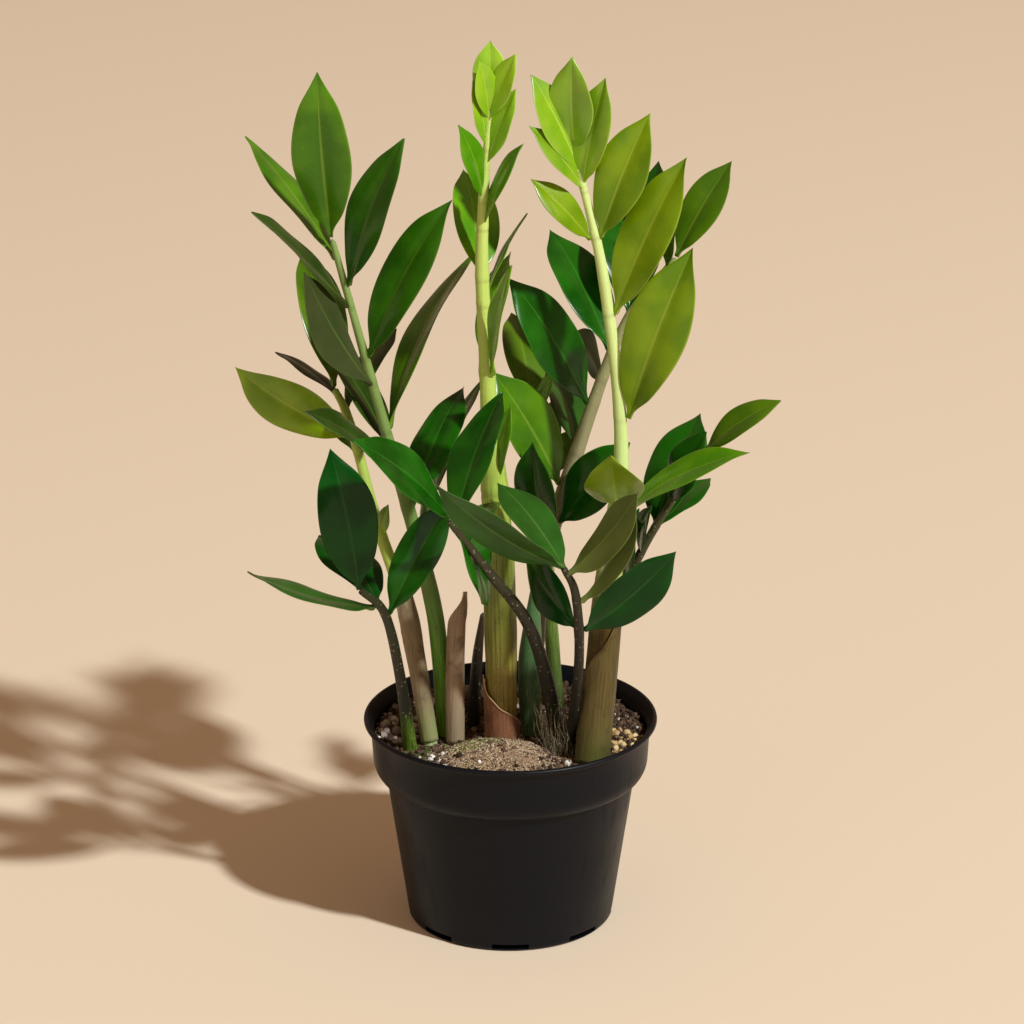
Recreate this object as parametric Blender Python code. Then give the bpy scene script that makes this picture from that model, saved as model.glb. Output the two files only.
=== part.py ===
"""Potted ZZ plant: a nursery pot, its soil, a root mound, ten fronds with their leaflets, and the rhizome below.

The frame is +Z up, with the origin at the centre of the pot's flat underside. The plant's own points are
design coordinates in millimetres: x and y from the pot's axis, h above the soil. crown() takes them into the
pot and to the plant's real height and spread.
"""
import math

import bmesh
import bpy
from mathutils import Vector

MM = 0.001

# ---- pot ----
POT_HEIGHT = 0.109
LIP_RADIUS = 0.075
LIP_HEIGHT = 0.003
LIP_WIDTH = 0.0034  # how far the lip stands out from the collar
COLLAR_TAPER = 0.0012  # how much the collar narrows to its lower edge
COLLAR_HEIGHT = 0.0215  # from the top of the lip to the start of the step
STEP_WIDTH = 0.0066  # from the collar in to the wall
STEP_DROP = 0.0095
FOOT_RADIUS = 0.053
FOOT_ROUNDING = 0.0028
WALL = 0.0014
FLOOR = 0.0018
DRAIN_COUNT = 8
DRAIN_WIDTH = 0.017
DRAIN_HEIGHT = 0.0034
DRAIN_DEPTH = 0.007  # inwards from the foot's outer radius
SEGMENTS = 40

# ---- soil, mound and rhizome ----
HEADSPACE = 0.008  # from the top of the pot down to the soil
GAP = 0.0003
SOCKET_DEPTH = 0.012  # how far each stem stands in the soil
MOUND_CENTRE = (-0.007, -0.041)
MOUND_RADIUS = (0.029, 0.026)
MOUND_HEIGHT = 0.0075
RHIZOME_CENTRE = (0.006, -0.006)
RHIZOME_RADIUS = (0.046, 0.034)
RHIZOME_THICKNESS = 0.022

# ---- plant ----
PLANT_HEIGHT = 0.359  # from the soil to the highest tip
PLANT_SPREAD = 0.270  # overall width of the leaves
LEAF_THICKNESS = 0.0009
PETIOLE_WIDTH = 0.0022
LEAF_ROWS = 7
JOINED_ROWS = 5  # rows in a leaflet that is one body with its stem
STEM_SIDES = 9
SHEATH_THICKNESS = 0.0008

# The sizes that the design coordinates below were drawn for.
DRAWN_HEIGHT = 0.359
DRAWN_SPREAD = 0.270
DRAWN_SOIL_RADIUS = 0.0698
DRAWN_FOOT_ZONE = 90.0  # mm above the soil over which the stems spread from the pot to the crown

# Stems: points (x, y, h, radius) from the soil up, all in mm.
STEMS = {
    "stem_a": [(-33, -5, 0, 4.4), (-39, -6, 70, 4.3), (-60, 0, 152, 2.9), (-88, 6, 259, 1.5)],
    "stem_b": [(-41, -16, 0, 3.6), (-52, -4, 64, 3.8), (-67, 14, 105, 2.9), (-81, 30, 154, 2.4),
               (-89, 34, 172, 1.6)],
    "stem_c": [(-51, -23, 0, 3.6), (-55, -36, 42, 2.8), (-62, -50, 82, 2.3), (-74, -58, 98, 1.6)],
    "stem_d": [(-4, -18, 0, 7.6), (-6, -16, 98, 8.0), (-11, -10, 186, 4.1), (-14, -4, 256, 3.2),
               (-10, 0, 327, 1.3)],
    "stem_e": [(41, -42, 0, 7.4), (48, -26, 80, 7.2), (55, -14, 156, 3.6), (46, -6, 241, 2.8),
               (31, 0, 306, 1.5)],
    "stem_f": [(26, -22, 0, 4.3), (11, -48, 71, 3.2), (-12, -60, 110, 2.4), (-30, -68, 138, 1.6)],
    "stem_g": [(30, -30, 0, 3.0), (34, -54, 59, 2.5), (32, -66, 98, 2.2), (26, -70, 114, 1.5)],
    "stem_h": [(46, 14, 0, 3.2), (57, 14, 65, 2.6), (71, 12, 101, 2.1), (98, 8, 147, 1.3)],
    "stem_i": [(10, 14, 0, 4.4), (18, 14, 87, 4.1), (36, 24, 149, 3.5), (58, 34, 207, 2.4),
               (83, 40, 239, 1.5)],
    "stem_j": [(24, 32, 0, 4.0), (20, 34, 59, 3.4), (18, 35, 112, 2.6), (10, 36, 165, 1.6)],
    "bud": [(10, -6, 0, 4.4), (10, -4, 37, 6.2), (12, 0, 70, 3.0), (13, 1, 84, 1.0)],
    "stub": [(-19, 6, 0, 3.4), (-17, 8, 34, 2.8), (-14, 10, 60, 1.2)],
}

# A sheath stands beside stem_a on its own points; two more wrap the feet of stem_b and stem_e, between two
# stations. Each covers an arc (from, to) in degrees at its foot and another at its tip.
SHEATH_POINTS = [(-28, -17, 4, 4.6), (-28, -15, 31, 4.6), (-26, -12, 60, 3.8), (-23, -9, 79, 1.4)]
SHEATHS = {
    "sheath_a": (SHEATH_POINTS, 0.0, 1.0, (170, 400), (250, 320)),
    "sheath_b": ("stem_b", 0.03, 0.31, (130, 430), (220, 340)),
    "sheath_e": ("stem_e", 0.02, 0.22, (-100, 130), (-45, 60)),
}

# Leaflets: stem, station along it (0 to 1), heading and rise in degrees, length and width in mm, roll in
# degrees about the leaflet's own axis, arch (how far the midrib bulges) in mm, and fold in degrees.
LEAFLETS = {
    "leaf_a01": ("stem_a", 1.00, -113, 81, 86, 30, 166, 4, 10),
    "leaf_a02": ("stem_a", 0.93, -22, 69, 82, 28, -64, 4, 12),
    "leaf_a03": ("stem_a", 0.97, 137, 39, 80, 27, -16, 2, 12),
    "leaf_a04": ("stem_a", 0.90, -145, 47, 78, 26, 28, 1, 12),
    "leaf_a05": ("stem_a", 0.82, -16, 63, 93, 30, -58, 5, 12),
    "leaf_a06": ("stem_a", 0.78, -137, 58, 78, 28, -112, 3, 10),
    "leaf_a07": ("stem_a", 0.67, 134, 44, 60, 28, -16, 3, 10),
    "leaf_a08": ("stem_a", 0.70, 55, 46, 102, 30, 32, 6, 14),
    "leaf_a09": ("stem_a", 0.62, -144, 41, 68, 26, 26, 4, 12),
    "leaf_a10": ("stem_a", 0.55, 63, 40, 72, 27, 8, 4, 12),
    "leaf_a11": ("stem_a", 0.48, 66, 41, 95, 26, 42, 5, 14),
    "leaf_b01": ("stem_b", 1.00, 110, 49, 76, 28, -16, 4, 10),
    "leaf_b03": ("stem_b", 0.72, -154, 36, 76, 29, 120, 4, 10),
    "leaf_b04": ("stem_b", 0.67, 119, 15, 55, 24, -20, 3, 10),
    "leaf_c01": ("stem_c", 1.00, -163, 80, 74, 31, 84, 4, 14),
    "leaf_c02": ("stem_c", 0.78, -152, 25, 74, 26, 6, -4, 16),
    "leaf_c03": ("stem_c", 0.75, 120, 15, 64, 30, -8, 4, 10),
    "leaf_c04": ("stem_c", 0.66, 20, 60, 64, 24, -40, 3, 12),
    "leaf_d08": ("stem_d", 0.70, 102, 45, 60, 26, -16, 3, 12),
    "leaf_d11": ("stem_d", 0.53, -55, 74, 62, 20, -70, 3, 14),
    "leaf_d12": ("stem_d", 0.53, 72, 59, 60, 25, 38, 4, 12),
    "leaf_e05": ("stem_e", 0.83, -10, 70, 66, 28, -68, 3, 12),
    "leaf_e06": ("stem_e", 0.83, -173, 47, 42, 17, 52, 2, 12),
    "leaf_e07": ("stem_e", 0.70, -10, 67, 87, 30, -60, 4, 14),
    "leaf_e09": ("stem_e", 0.42, -96, 42, 56, 30, 176, 4, 16),
    "leaf_e10": ("stem_e", 0.55, -6, 71, 93, 34, -66, 5, 14),
    "leaf_e11": ("stem_e", 0.40, -24, 32, 76, 23, -28, 6, 14),
    "leaf_f01": ("stem_f", 1.00, -140, 42, 78, 30, 48, 5, 12),
    "leaf_f04": ("stem_f", 0.95, 64, 44, 74, 28, 16, 4, 12),
    "leaf_g01": ("stem_g", 1.00, -150, 37, 88, 27, 144, 4, 12),
    "leaf_g02": ("stem_g", 0.97, 128, 31, 60, 25, -2, 3, 12),
    "leaf_g03": ("stem_g", 0.93, -36, 51, 64, 26, 124, 3, 20),
    "leaf_g04": ("stem_g", 0.63, -31, 62, 68, 24, 140, 4, 16),
    "leaf_g05": ("stem_g", 0.47, -8, 44, 62, 27, -112, 4, 12),
    "leaf_g06": ("stem_g", 0.47, 122, 28, 54, 25, 82, 3, 12),
    "leaf_h01": ("stem_h", 1.00, -20, 39, 48, 18, -44, 3, 12),
    "leaf_i01": ("stem_i", 0.57, -168, 60, 78, 31, 58, 4, 12),
    "leaf_i02": ("stem_i", 0.68, 121, 40, 74, 31, -4, 4, 10),
    "leaf_i05": ("stem_i", 1.00, 23, 58, 54, 21, -38, 3, 12),
    "leaf_i09": ("stem_i", 0.33, -24, 52, 60, 27, -78, 3, 12),
    "leaf_i10": ("stem_i", 0.40, -170, 61, 69, 32, 58, 4, 12),
}

# Leaflets that are one body with their stem: the small or mostly hidden ones. Same columns.
JOINED = [
    ("stem_b", 0.93, 133, 14, 50, 18, -20, 2, 12),
    ("stem_b", 0.82, 58, 34, 55, 22, 18, 3, 12),
    ("stem_b", 0.47, -62, 69, 20, 8, -108, 1, 10),
    ("stem_d", 1.00, 88, 86, 32, 17, 0, 1, 14),
    ("stem_d", 0.93, -165, 79, 34, 12, 64, 1, 14),
    ("stem_d", 0.98, -25, 67, 36, 16, -66, 1, 14),
    ("stem_d", 0.98, -128, 76, 31, 14, 104, 1, 14),
    ("stem_d", 0.90, -20, 69, 41, 16, -60, 1, 14),
    ("stem_d", 0.84, -136, 68, 42, 17, 76, 2, 14),
    ("stem_d", 0.79, -30, 64, 49, 17, -44, 2, 14),
    ("stem_d", 0.65, 46, 52, 49, 16, 38, 2, 14),
    ("stem_d", 0.35, -24, 79, 42, 14, -62, 2, 14),
    ("stem_e", 0.99, -106, 81, 50, 24, -172, 2, 12),
    ("stem_e", 0.96, -171, 64, 53, 22, 56, 2, 12),
    ("stem_e", 0.93, -34, 77, 56, 22, -90, 2, 12),
    ("stem_e", 0.92, -159, 51, 44, 17, 48, 2, 12),
    ("stem_f", 0.93, 58, -59, 56, 26, -78, 3, 10),
    ("stem_f", 0.82, 74, 10, 44, 22, 20, 3, 10),
    ("stem_h", 0.70, 60, 46, 66, 33, 8, 3, 12),
    ("stem_h", 0.80, -27, 66, 44, 24, -62, 2, 12),
    ("stem_h", 0.70, 51, 18, 48, 21, -2, 2, 12),
    ("stem_h", 0.57, -74, 63, 34, 14, -96, 2, 12),
    ("stem_h", 0.37, -49, 80, 46, 18, -76, 2, 12),
    ("stem_i", 0.62, 111, 18, 40, 24, -88, 2, 10),
    ("stem_i", 0.47, 106, 30, 56, 30, -32, 3, 10),
    ("stem_i", 0.96, -78, 75, 48, 18, -110, 2, 12),
    ("stem_i", 0.87, 84, 54, 68, 27, 36, 3, 12),
    ("stem_i", 0.77, 96, 47, 64, 28, -16, 3, 12),
    ("stem_i", 0.28, -114, 71, 62, 25, -172, 3, 12),
    ("stem_j", 0.99, 102, 39, 56, 24, -14, 3, 12),
    ("stem_j", 0.93, -47, 64, 32, 12, -74, 1, 12),
    ("stem_j", 0.73, 10, 57, 31, 16, -40, 2, 12),
    ("stem_j", 0.73, 81, 49, 44, 20, 26, 2, 12),
]

SOIL_LEVEL = POT_HEIGHT - HEADSPACE

# Colour, roughness of each finish.
FINISHES = {
    "black_plastic": ((0.012, 0.013, 0.015), 0.42),
    "soil": ((0.055, 0.035, 0.024), 0.95),
    "root_mound": ((0.30, 0.20, 0.12), 0.95),
    "rhizome": ((0.42, 0.31, 0.17), 0.8),
    "mature_leaf": ((0.018, 0.09, 0.012), 0.35),
    "dark_leaf": ((0.012, 0.05, 0.014), 0.3),
    "fresh_leaf": ((0.20, 0.34, 0.015), 0.4),
    "mature_stem": ((0.12, 0.16, 0.05), 0.55),
    "fresh_stem": ((0.45, 0.55, 0.12), 0.5),
    "dark_stem": ((0.03, 0.022, 0.015), 0.5),
    "dry_sheath": ((0.30, 0.18, 0.12), 0.8),
}
STEM_FINISH = {
    "stem_d": "fresh_stem", "stem_e": "fresh_stem", "stem_b": "fresh_stem", "stem_j": "fresh_stem",
    "stem_a": "mature_stem", "stem_i": "mature_stem", "bud": "mature_stem",
    "stem_c": "dark_stem", "stem_f": "dark_stem", "stem_g": "dark_stem", "stem_h": "dark_stem",
    "stub": "dark_stem",
}
LEAF_FINISH = {"a": "mature_leaf", "b": "fresh_leaf", "c": "dark_leaf", "d": "fresh_leaf", "e": "fresh_leaf",
               "f": "dark_leaf", "g": "dark_leaf", "h": "dark_leaf", "i": "mature_leaf"}


def finish(name):
    """The named material, made on first use."""
    material = bpy.data.materials.get(name)
    if material is None:
        colour, roughness = FINISHES[name]
        material = bpy.data.materials.new(name)
        material.use_nodes = True
        shader = material.node_tree.nodes["Principled BSDF"]
        shader.inputs["Base Color"].default_value = (*colour, 1.0)
        shader.inputs["Roughness"].default_value = roughness
    return material


def add_object(name, bm, material, smooth=40.0):
    """An object from a bmesh, with its faces pointing out."""
    bmesh.ops.recalc_face_normals(bm, faces=bm.faces)
    mesh = bpy.data.meshes.new(name)
    bm.to_mesh(mesh)
    bm.free()
    obj = bpy.data.objects.new(name, mesh)
    bpy.context.scene.collection.objects.link(obj)
    mesh.materials.append(finish(material))
    mesh.shade_smooth()
    mesh.set_sharp_from_angle(angle=math.radians(smooth))
    return obj


def hide_cutter(obj):
    obj.hide_render = True
    obj.display_type = "WIRE"


def boolean(target, tool, operation):
    """Keep a live EXACT Boolean on target."""
    modifier = target.modifiers.new(f"{operation.lower()} {tool.name}", "BOOLEAN")
    modifier.solver = "EXACT"
    modifier.operation = operation
    modifier.object = tool
    hide_cutter(tool)


# ---- where design points stand in the world ----

def pot_inner_radius(z):
    """The pot's inner radius at height z."""
    profile = pot_profile()[1]
    for (r0, z0), (r1, z1) in zip(profile, profile[1:]):
        low, high = min(z0, z1), max(z0, z1)
        if low <= z <= high and high > low:
            return r0 + (r1 - r0) * (z - z0) / (z1 - z0)
    return profile[0][0]


def crown(x, y, h):
    """World position of a design point: the feet follow the pot, the crown follows the spread."""
    soil_scale = (pot_inner_radius(SOIL_LEVEL) - GAP) / DRAWN_SOIL_RADIUS
    crown_scale = PLANT_SPREAD / DRAWN_SPREAD
    t = min(max(h / DRAWN_FOOT_ZONE, 0.0), 1.0)
    t = t * t * (3.0 - 2.0 * t)
    k = soil_scale + (crown_scale - soil_scale) * t
    rise = PLANT_HEIGHT / DRAWN_HEIGHT if h > 0.0 else 1.0
    return Vector((x * MM * k, y * MM * k, SOIL_LEVEL + h * MM * rise))


def curve_through(points, t):
    """A point on the smooth curve through the given points, t from 0 to 1; any number of columns."""
    rows = [[2 * a - b for a, b in zip(points[0], points[1])]]
    rows += [list(p) for p in points]
    rows += [[2 * a - b for a, b in zip(points[-1], points[-2])]]
    spans = len(points) - 1
    i = min(int(t * spans), spans - 1)
    u = t * spans - i
    out = []
    for a, b, c, d in zip(*rows[i:i + 4]):
        out.append(0.5 * (2 * b + (c - a) * u + (2 * a - 5 * b + 4 * c - d) * u * u
                          + (3 * b - a - 3 * c + d) * u ** 3))
    return out


def path_point(points, t):
    """World position and radius at a station of a stem."""
    x, y, h, radius = curve_through(points, t)
    return crown(x, y, h), radius * MM


def path_direction(points, t):
    step = 0.01
    start = path_point(points, max(t - step, 0.0))[0]
    end = path_point(points, min(t + step, 1.0))[0]
    return (end - start).normalized()


# ---- pot ----

def pot_profile():
    """The pot's outer and inner profiles, as (radius, z) from the foot up to the lip."""
    collar = LIP_RADIUS - LIP_WIDTH
    collar_low = collar - COLLAR_TAPER
    shoulder = collar_low - STEP_WIDTH
    step_top = POT_HEIGHT - COLLAR_HEIGHT
    step_low = step_top - STEP_DROP
    outer = [(FOOT_RADIUS - FOOT_ROUNDING, 0.0)]
    for k in range(1, 4):
        angle = math.radians(30 * k)
        outer.append((FOOT_RADIUS - FOOT_ROUNDING * (1 - math.sin(angle)),
                      FOOT_ROUNDING * (1 - math.cos(angle))))
    outer.append((shoulder, step_low))
    for k in (1, 2, 3, 4):
        angle = math.radians(90 - 22.5 * k)
        outer.append((shoulder + STEP_WIDTH * math.cos(angle), step_top - STEP_DROP * math.sin(angle)))
    lip_low = POT_HEIGHT - LIP_HEIGHT
    outer += [(collar, lip_low - 0.0025), (LIP_RADIUS - 0.0007, lip_low), (LIP_RADIUS, lip_low + 0.0009),
              (LIP_RADIUS, POT_HEIGHT - 0.0008), (LIP_RADIUS - 0.0008, POT_HEIGHT)]
    inner = [(FOOT_RADIUS - FOOT_ROUNDING - WALL, FLOOR), (FOOT_RADIUS - WALL, FLOOR + FOOT_ROUNDING),
             (shoulder - WALL, step_low)]
    for k in (1, 2, 3, 4):
        angle = math.radians(90 - 22.5 * k)
        inner.append((shoulder - WALL + STEP_WIDTH * math.cos(angle), step_top - STEP_DROP * math.sin(angle)))
    inner += [(collar - WALL, lip_low - 0.0005), (LIP_RADIUS - LIP_WIDTH + 0.0006, POT_HEIGHT - 0.0008),
              (LIP_RADIUS - LIP_WIDTH + 0.0013, POT_HEIGHT)]
    return outer, inner


def turned(profile):
    """A closed body turned about Z from a profile that starts and ends on the axis."""
    bm = bmesh.new()
    verts = [bm.verts.new((r, 0.0, z)) for r, z in profile]
    edges = [bm.edges.new(pair) for pair in zip(verts, verts[1:])]
    bmesh.ops.spin(bm, geom=verts + edges, cent=(0, 0, 0), axis=(0, 0, 1), angle=math.tau,
                   steps=SEGMENTS, use_duplicate=False)
    bmesh.ops.remove_doubles(bm, verts=bm.verts, dist=1e-6)
    return bm


def build_pot():
    outer, inner = pot_profile()
    profile = [(0.0, 0.0)] + outer + inner[::-1] + [(0.0, FLOOR)]
    pot = add_object("pot", turned(profile), "black_plastic")
    bm = bmesh.new()
    for k in range(DRAIN_COUNT):
        angle = math.tau * k / DRAIN_COUNT
        box = bmesh.ops.create_cube(bm, size=1.0)["verts"]
        for v in box:
            x = FOOT_RADIUS - DRAIN_DEPTH + (v.co.x + 0.5) * (DRAIN_DEPTH + 0.004)
            y = v.co.y * DRAIN_WIDTH
            z = v.co.z * 2 * DRAIN_HEIGHT
            v.co = (x * math.cos(angle) - y * math.sin(angle), x * math.sin(angle) + y * math.cos(angle), z)
    boolean(pot, add_object("drain_cutter", bm, "black_plastic"), "DIFFERENCE")
    return pot


# ---- tubes, sheaths and leaflets ----

def tube(path, sides):
    """A closed tube: path is a list of (centre, direction, radius)."""
    bm = bmesh.new()
    ring = bmesh.ops.create_circle(bm, cap_ends=True, segments=sides, radius=1.0)["verts"]
    bm.faces.ensure_lookup_table()
    face = bm.faces[0]
    side = Vector((1.0, 0.0, 0.0))
    for k, (centre, direction, radius) in enumerate(path):
        side = (side - direction * side.dot(direction)).normalized()
        other = direction.cross(side)
        if k:
            made = bmesh.ops.extrude_face_region(bm, geom=[face])["geom"]
            fresh = {g for g in made if isinstance(g, bmesh.types.BMVert)}
            if k > 1:
                bmesh.ops.delete(bm, geom=[face], context="FACES_ONLY")
            face = next(g for g in made if isinstance(g, bmesh.types.BMFace))
            ring = [next(e.other_vert(v) for e in v.link_edges if e.other_vert(v) in fresh) for v in ring]
        for i, v in enumerate(ring):
            angle = math.tau * i / sides
            v.co = centre + (side * math.cos(angle) + other * math.sin(angle)) * radius
    return bm


def stem_path(points, rings, extra=0.0):
    """Stations of a stem from its foot in the soil to a rounded tip, its radius grown by extra."""
    foot, radius = path_point(points, 0.0)
    up = Vector((0.0, 0.0, 1.0))
    path = [(foot - up * (SOCKET_DEPTH + extra), up, radius * 0.92 + extra)]
    for k in range(rings + 1):
        t = k / rings
        centre, radius = path_point(points, t)
        direction = up if k == 0 else path_direction(points, t)
        path.append((centre, direction, radius + extra))
    centre, direction, radius = path[-1]
    path.append((centre + direction * radius * 0.6, direction, radius * 0.55))
    return path


def build_stem(name):
    rings = 10 if len(STEMS[name]) > 4 else 8
    return add_object(name, tube(stem_path(STEMS[name], rings), STEM_SIDES), STEM_FINISH[name])


def socket_cutter(name):
    """What a stem's foot takes out of the soil and the mound: the foot with a gap all round."""
    points = STEMS[name]
    path = stem_path(points, 16, GAP)
    reach = SOIL_LEVEL + MOUND_HEIGHT + 0.006
    kept = [p for p in path if p[0].z < reach]
    kept += [path[len(kept)]]
    return add_object(f"{name}_socket", tube(kept, STEM_SIDES), "soil")


def leaf_axes(heading, rise, roll):
    """A leaflet's axis, side and upper normal in design space."""
    h, r, q = math.radians(heading), math.radians(rise), math.radians(roll)
    axis = Vector((math.cos(r) * math.cos(h), math.cos(r) * math.sin(h), math.sin(r)))
    side = Vector((-math.sin(h), math.cos(h), 0.0))
    normal = Vector((-math.sin(r) * math.cos(h), -math.sin(r) * math.sin(h), math.cos(r)))
    return (axis, side * math.cos(q) - normal * math.sin(q), normal * math.cos(q) + side * math.sin(q))


def half_width(u):
    """Half width of a leaflet at u along it, as a share of its full width: widest about halfway."""
    swell = math.sin(math.pi * u ** 1.06) ** 0.74 if 0.0 < u < 1.0 else 0.0
    return 0.5 * swell


def clearance(bm, points, station):
    """The least distance from a body's points to a stem's surface, near a station of the stem."""
    near = []
    for k in range(-40, 41):
        near.append(path_point(points, min(max(station + 0.004 * k, 0.0), 1.0)))
    return min((v.co - centre).length - radius for v in bm.verts for centre, radius in near)


def blade(row, joined):
    """A leaflet as a closed thin body."""
    stem, station, heading, rise, length, width, roll, arch, fold = row
    points = STEMS[stem]
    x, y, h, _ = curve_through(points, station)
    axis, side, normal = leaf_axes(heading, rise, roll)
    base_design = Vector((x, y, h))
    base_world, radius = path_point(points, station)
    tip_design = base_design + axis * length
    reach = (crown(*tip_design) - base_world).normalized()
    along = path_direction(points, station)
    if joined:
        anchor = base_world + reach * radius * 0.2
    elif station == 1.0:
        anchor = base_world + along * (radius * 0.6 + GAP) + reach * LEAF_THICKNESS
    else:
        anchor = base_world + (reach - along * reach.dot(along)).normalized() * (radius + PETIOLE_WIDTH)
    bm = bmesh.new()
    bmesh.ops.create_grid(bm, x_segments=2, y_segments=JOINED_ROWS if joined else LEAF_ROWS, size=1.0)
    lift = math.sin(math.radians(fold))
    for v in bm.verts:
        across, u = round(v.co.x), (v.co.y + 1.0) * 0.5
        u = u ** 1.15
        half = max(half_width(u) * width, (0.5 * PETIOLE_WIDTH if u < 0.5 else 0.0005) / MM)
        design = (axis * (u * length) + side * (across * half)
                  + normal * (arch * 4 * u * (1 - u) + abs(across) * half * lift))
        v.co = anchor + crown(*(base_design + design)) - crown(*base_design)
    bmesh.ops.recalc_face_normals(bm, faces=bm.faces)
    bmesh.ops.solidify(bm, geom=bm.faces[:], thickness=LEAF_THICKNESS)
    if not joined and station < 1.0:
        out = (reach - along * reach.dot(along)).normalized()
        bmesh.ops.translate(bm, vec=out * (GAP - clearance(bm, points, station)), verts=bm.verts)
    return bm


def sheath(row):
    """A curved papery scale, round a stem's foot or beside it."""
    source, first, last, arc_foot, arc_tip = row
    points = STEMS.get(source) if isinstance(source, str) else source
    rows, columns = 6, 10
    bm = bmesh.new()
    bmesh.ops.create_grid(bm, x_segments=columns, y_segments=rows, size=1.0)
    chord = math.cos(math.radians(0.5 * (arc_foot[1] - arc_foot[0]) / columns))
    for v in bm.verts:
        s, t = (v.co.x + 1.0) * 0.5, (v.co.y + 1.0) * 0.5
        station = first + (last - first) * t
        centre, radius = path_point(points, station)
        if points is not SHEATH_POINTS:
            radius = (radius + 1.5 * GAP + SHEATH_THICKNESS) / chord
        direction = path_direction(points, station)
        start = arc_foot[0] + (arc_tip[0] - arc_foot[0]) * t * t
        end = arc_foot[1] + (arc_tip[1] - arc_foot[1]) * t * t
        angle = math.radians(start + (end - start) * s)
        x_axis = (Vector((1, 0, 0)) - direction * direction.x).normalized()
        y_axis = direction.cross(x_axis)
        v.co = centre + (x_axis * math.cos(angle) + y_axis * math.sin(angle)) * radius
    bmesh.ops.recalc_face_normals(bm, faces=bm.faces)
    bmesh.ops.solidify(bm, geom=bm.faces[:], thickness=SHEATH_THICKNESS)
    return bm


# ---- soil, mound and rhizome ----

def lump(centre, radius, height, low, swell, rings, sides):
    """A rounded lump: an ellipse in plan, swollen by swell(angle)."""
    bm = bmesh.new()
    bmesh.ops.create_uvsphere(bm, u_segments=sides, v_segments=rings, radius=1.0)
    for v in bm.verts:
        angle = math.atan2(v.co.y, v.co.x)
        k = 1.0 + swell(angle)
        v.co = (centre[0] + v.co.x * radius[0] * k, centre[1] + v.co.y * radius[1] * k,
                low + v.co.z * height)
    return bm


def cut_flat(bm, z, keep_above):
    """Cut a body level at z and close it."""
    cut = bmesh.ops.bisect_plane(bm, geom=bm.verts[:] + bm.edges[:] + bm.faces[:], plane_co=(0, 0, z),
                                 plane_no=(0, 0, 1), clear_inner=keep_above, clear_outer=not keep_above)
    edges = [g for g in cut["geom_cut"] if isinstance(g, bmesh.types.BMEdge)]
    bmesh.ops.holes_fill(bm, edges=edges, sides=0)


def rhizome_body(extra):
    top = SOIL_LEVEL - SOCKET_DEPTH - GAP + extra
    middle = SOIL_LEVEL - SOCKET_DEPTH - GAP - RHIZOME_THICKNESS * 0.35
    scale = (pot_inner_radius(SOIL_LEVEL) - GAP) / DRAWN_SOIL_RADIUS
    centre = [c * scale for c in RHIZOME_CENTRE]
    radius = [r * scale + extra for r in RHIZOME_RADIUS]
    bm = lump(centre, radius, RHIZOME_THICKNESS * 0.65 + extra, middle,
              lambda a: 0.07 * math.cos(3 * a + 0.6) + 0.05 * math.sin(5 * a), 8, 18)
    cut_flat(bm, top, keep_above=False)
    return bm


def build_soil():
    """The soil plug: the pot's inside less a gap, up to the soil level."""
    inner = pot_profile()[1]
    profile = [(0.0, FLOOR + GAP)]
    for radius, z in inner:
        if z + GAP < SOIL_LEVEL - 0.001:
            profile.append((radius - GAP, z + GAP))
    edge = pot_inner_radius(SOIL_LEVEL) - GAP
    profile += [(edge, SOIL_LEVEL - 0.0006), (edge - 0.0025, SOIL_LEVEL), (0.0, SOIL_LEVEL)]
    return add_object("soil", turned(profile), "soil")


def build_mound():
    scale = (pot_inner_radius(SOIL_LEVEL) - GAP) / DRAWN_SOIL_RADIUS
    centre = [c * scale for c in MOUND_CENTRE]
    radius = [r * scale for r in MOUND_RADIUS]
    bm = lump(centre, radius, MOUND_HEIGHT, SOIL_LEVEL - GAP, lambda a: 0.05 * math.sin(4 * a + 1.0), 10, 22)
    cut_flat(bm, SOIL_LEVEL + GAP, keep_above=True)
    return add_object("root_mound", bm, "root_mound")


def main():
    for obj in list(bpy.data.objects):
        bpy.data.objects.remove(obj)
    build_pot()
    soil = build_soil()
    mound = build_mound()
    add_object("rhizome", rhizome_body(0.0), "rhizome")
    boolean(soil, add_object("rhizome_cavity", rhizome_body(GAP), "soil"), "DIFFERENCE")
    stems = {name: build_stem(name) for name in STEMS}
    for name in STEMS:
        socket = socket_cutter(name)
        boolean(soil, socket, "DIFFERENCE")
        if name in ("stem_d",):
            boolean(mound, socket, "DIFFERENCE")
    for name, row in SHEATHS.items():
        add_object(name, sheath(row), "dry_sheath")
    for name, row in LEAFLETS.items():
        add_object(name, blade(row, False), LEAF_FINISH[name[5]])
    for k, row in enumerate(JOINED):
        leaf = add_object(f"joined_{k:02d}", blade(row, True), STEM_FINISH[row[0]])
        boolean(stems[row[0]], leaf, "UNION")


if __name__ == "__main__":
    main()
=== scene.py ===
"""Looks of the potted ZZ plant: pot, soil, roots, stems and leaflets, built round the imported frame."""
import math
import random

import bmesh
import bpy
import numpy as np
from bpy.props import FloatProperty, FloatVectorProperty, IntProperty, PointerProperty
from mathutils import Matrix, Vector, noise


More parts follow.
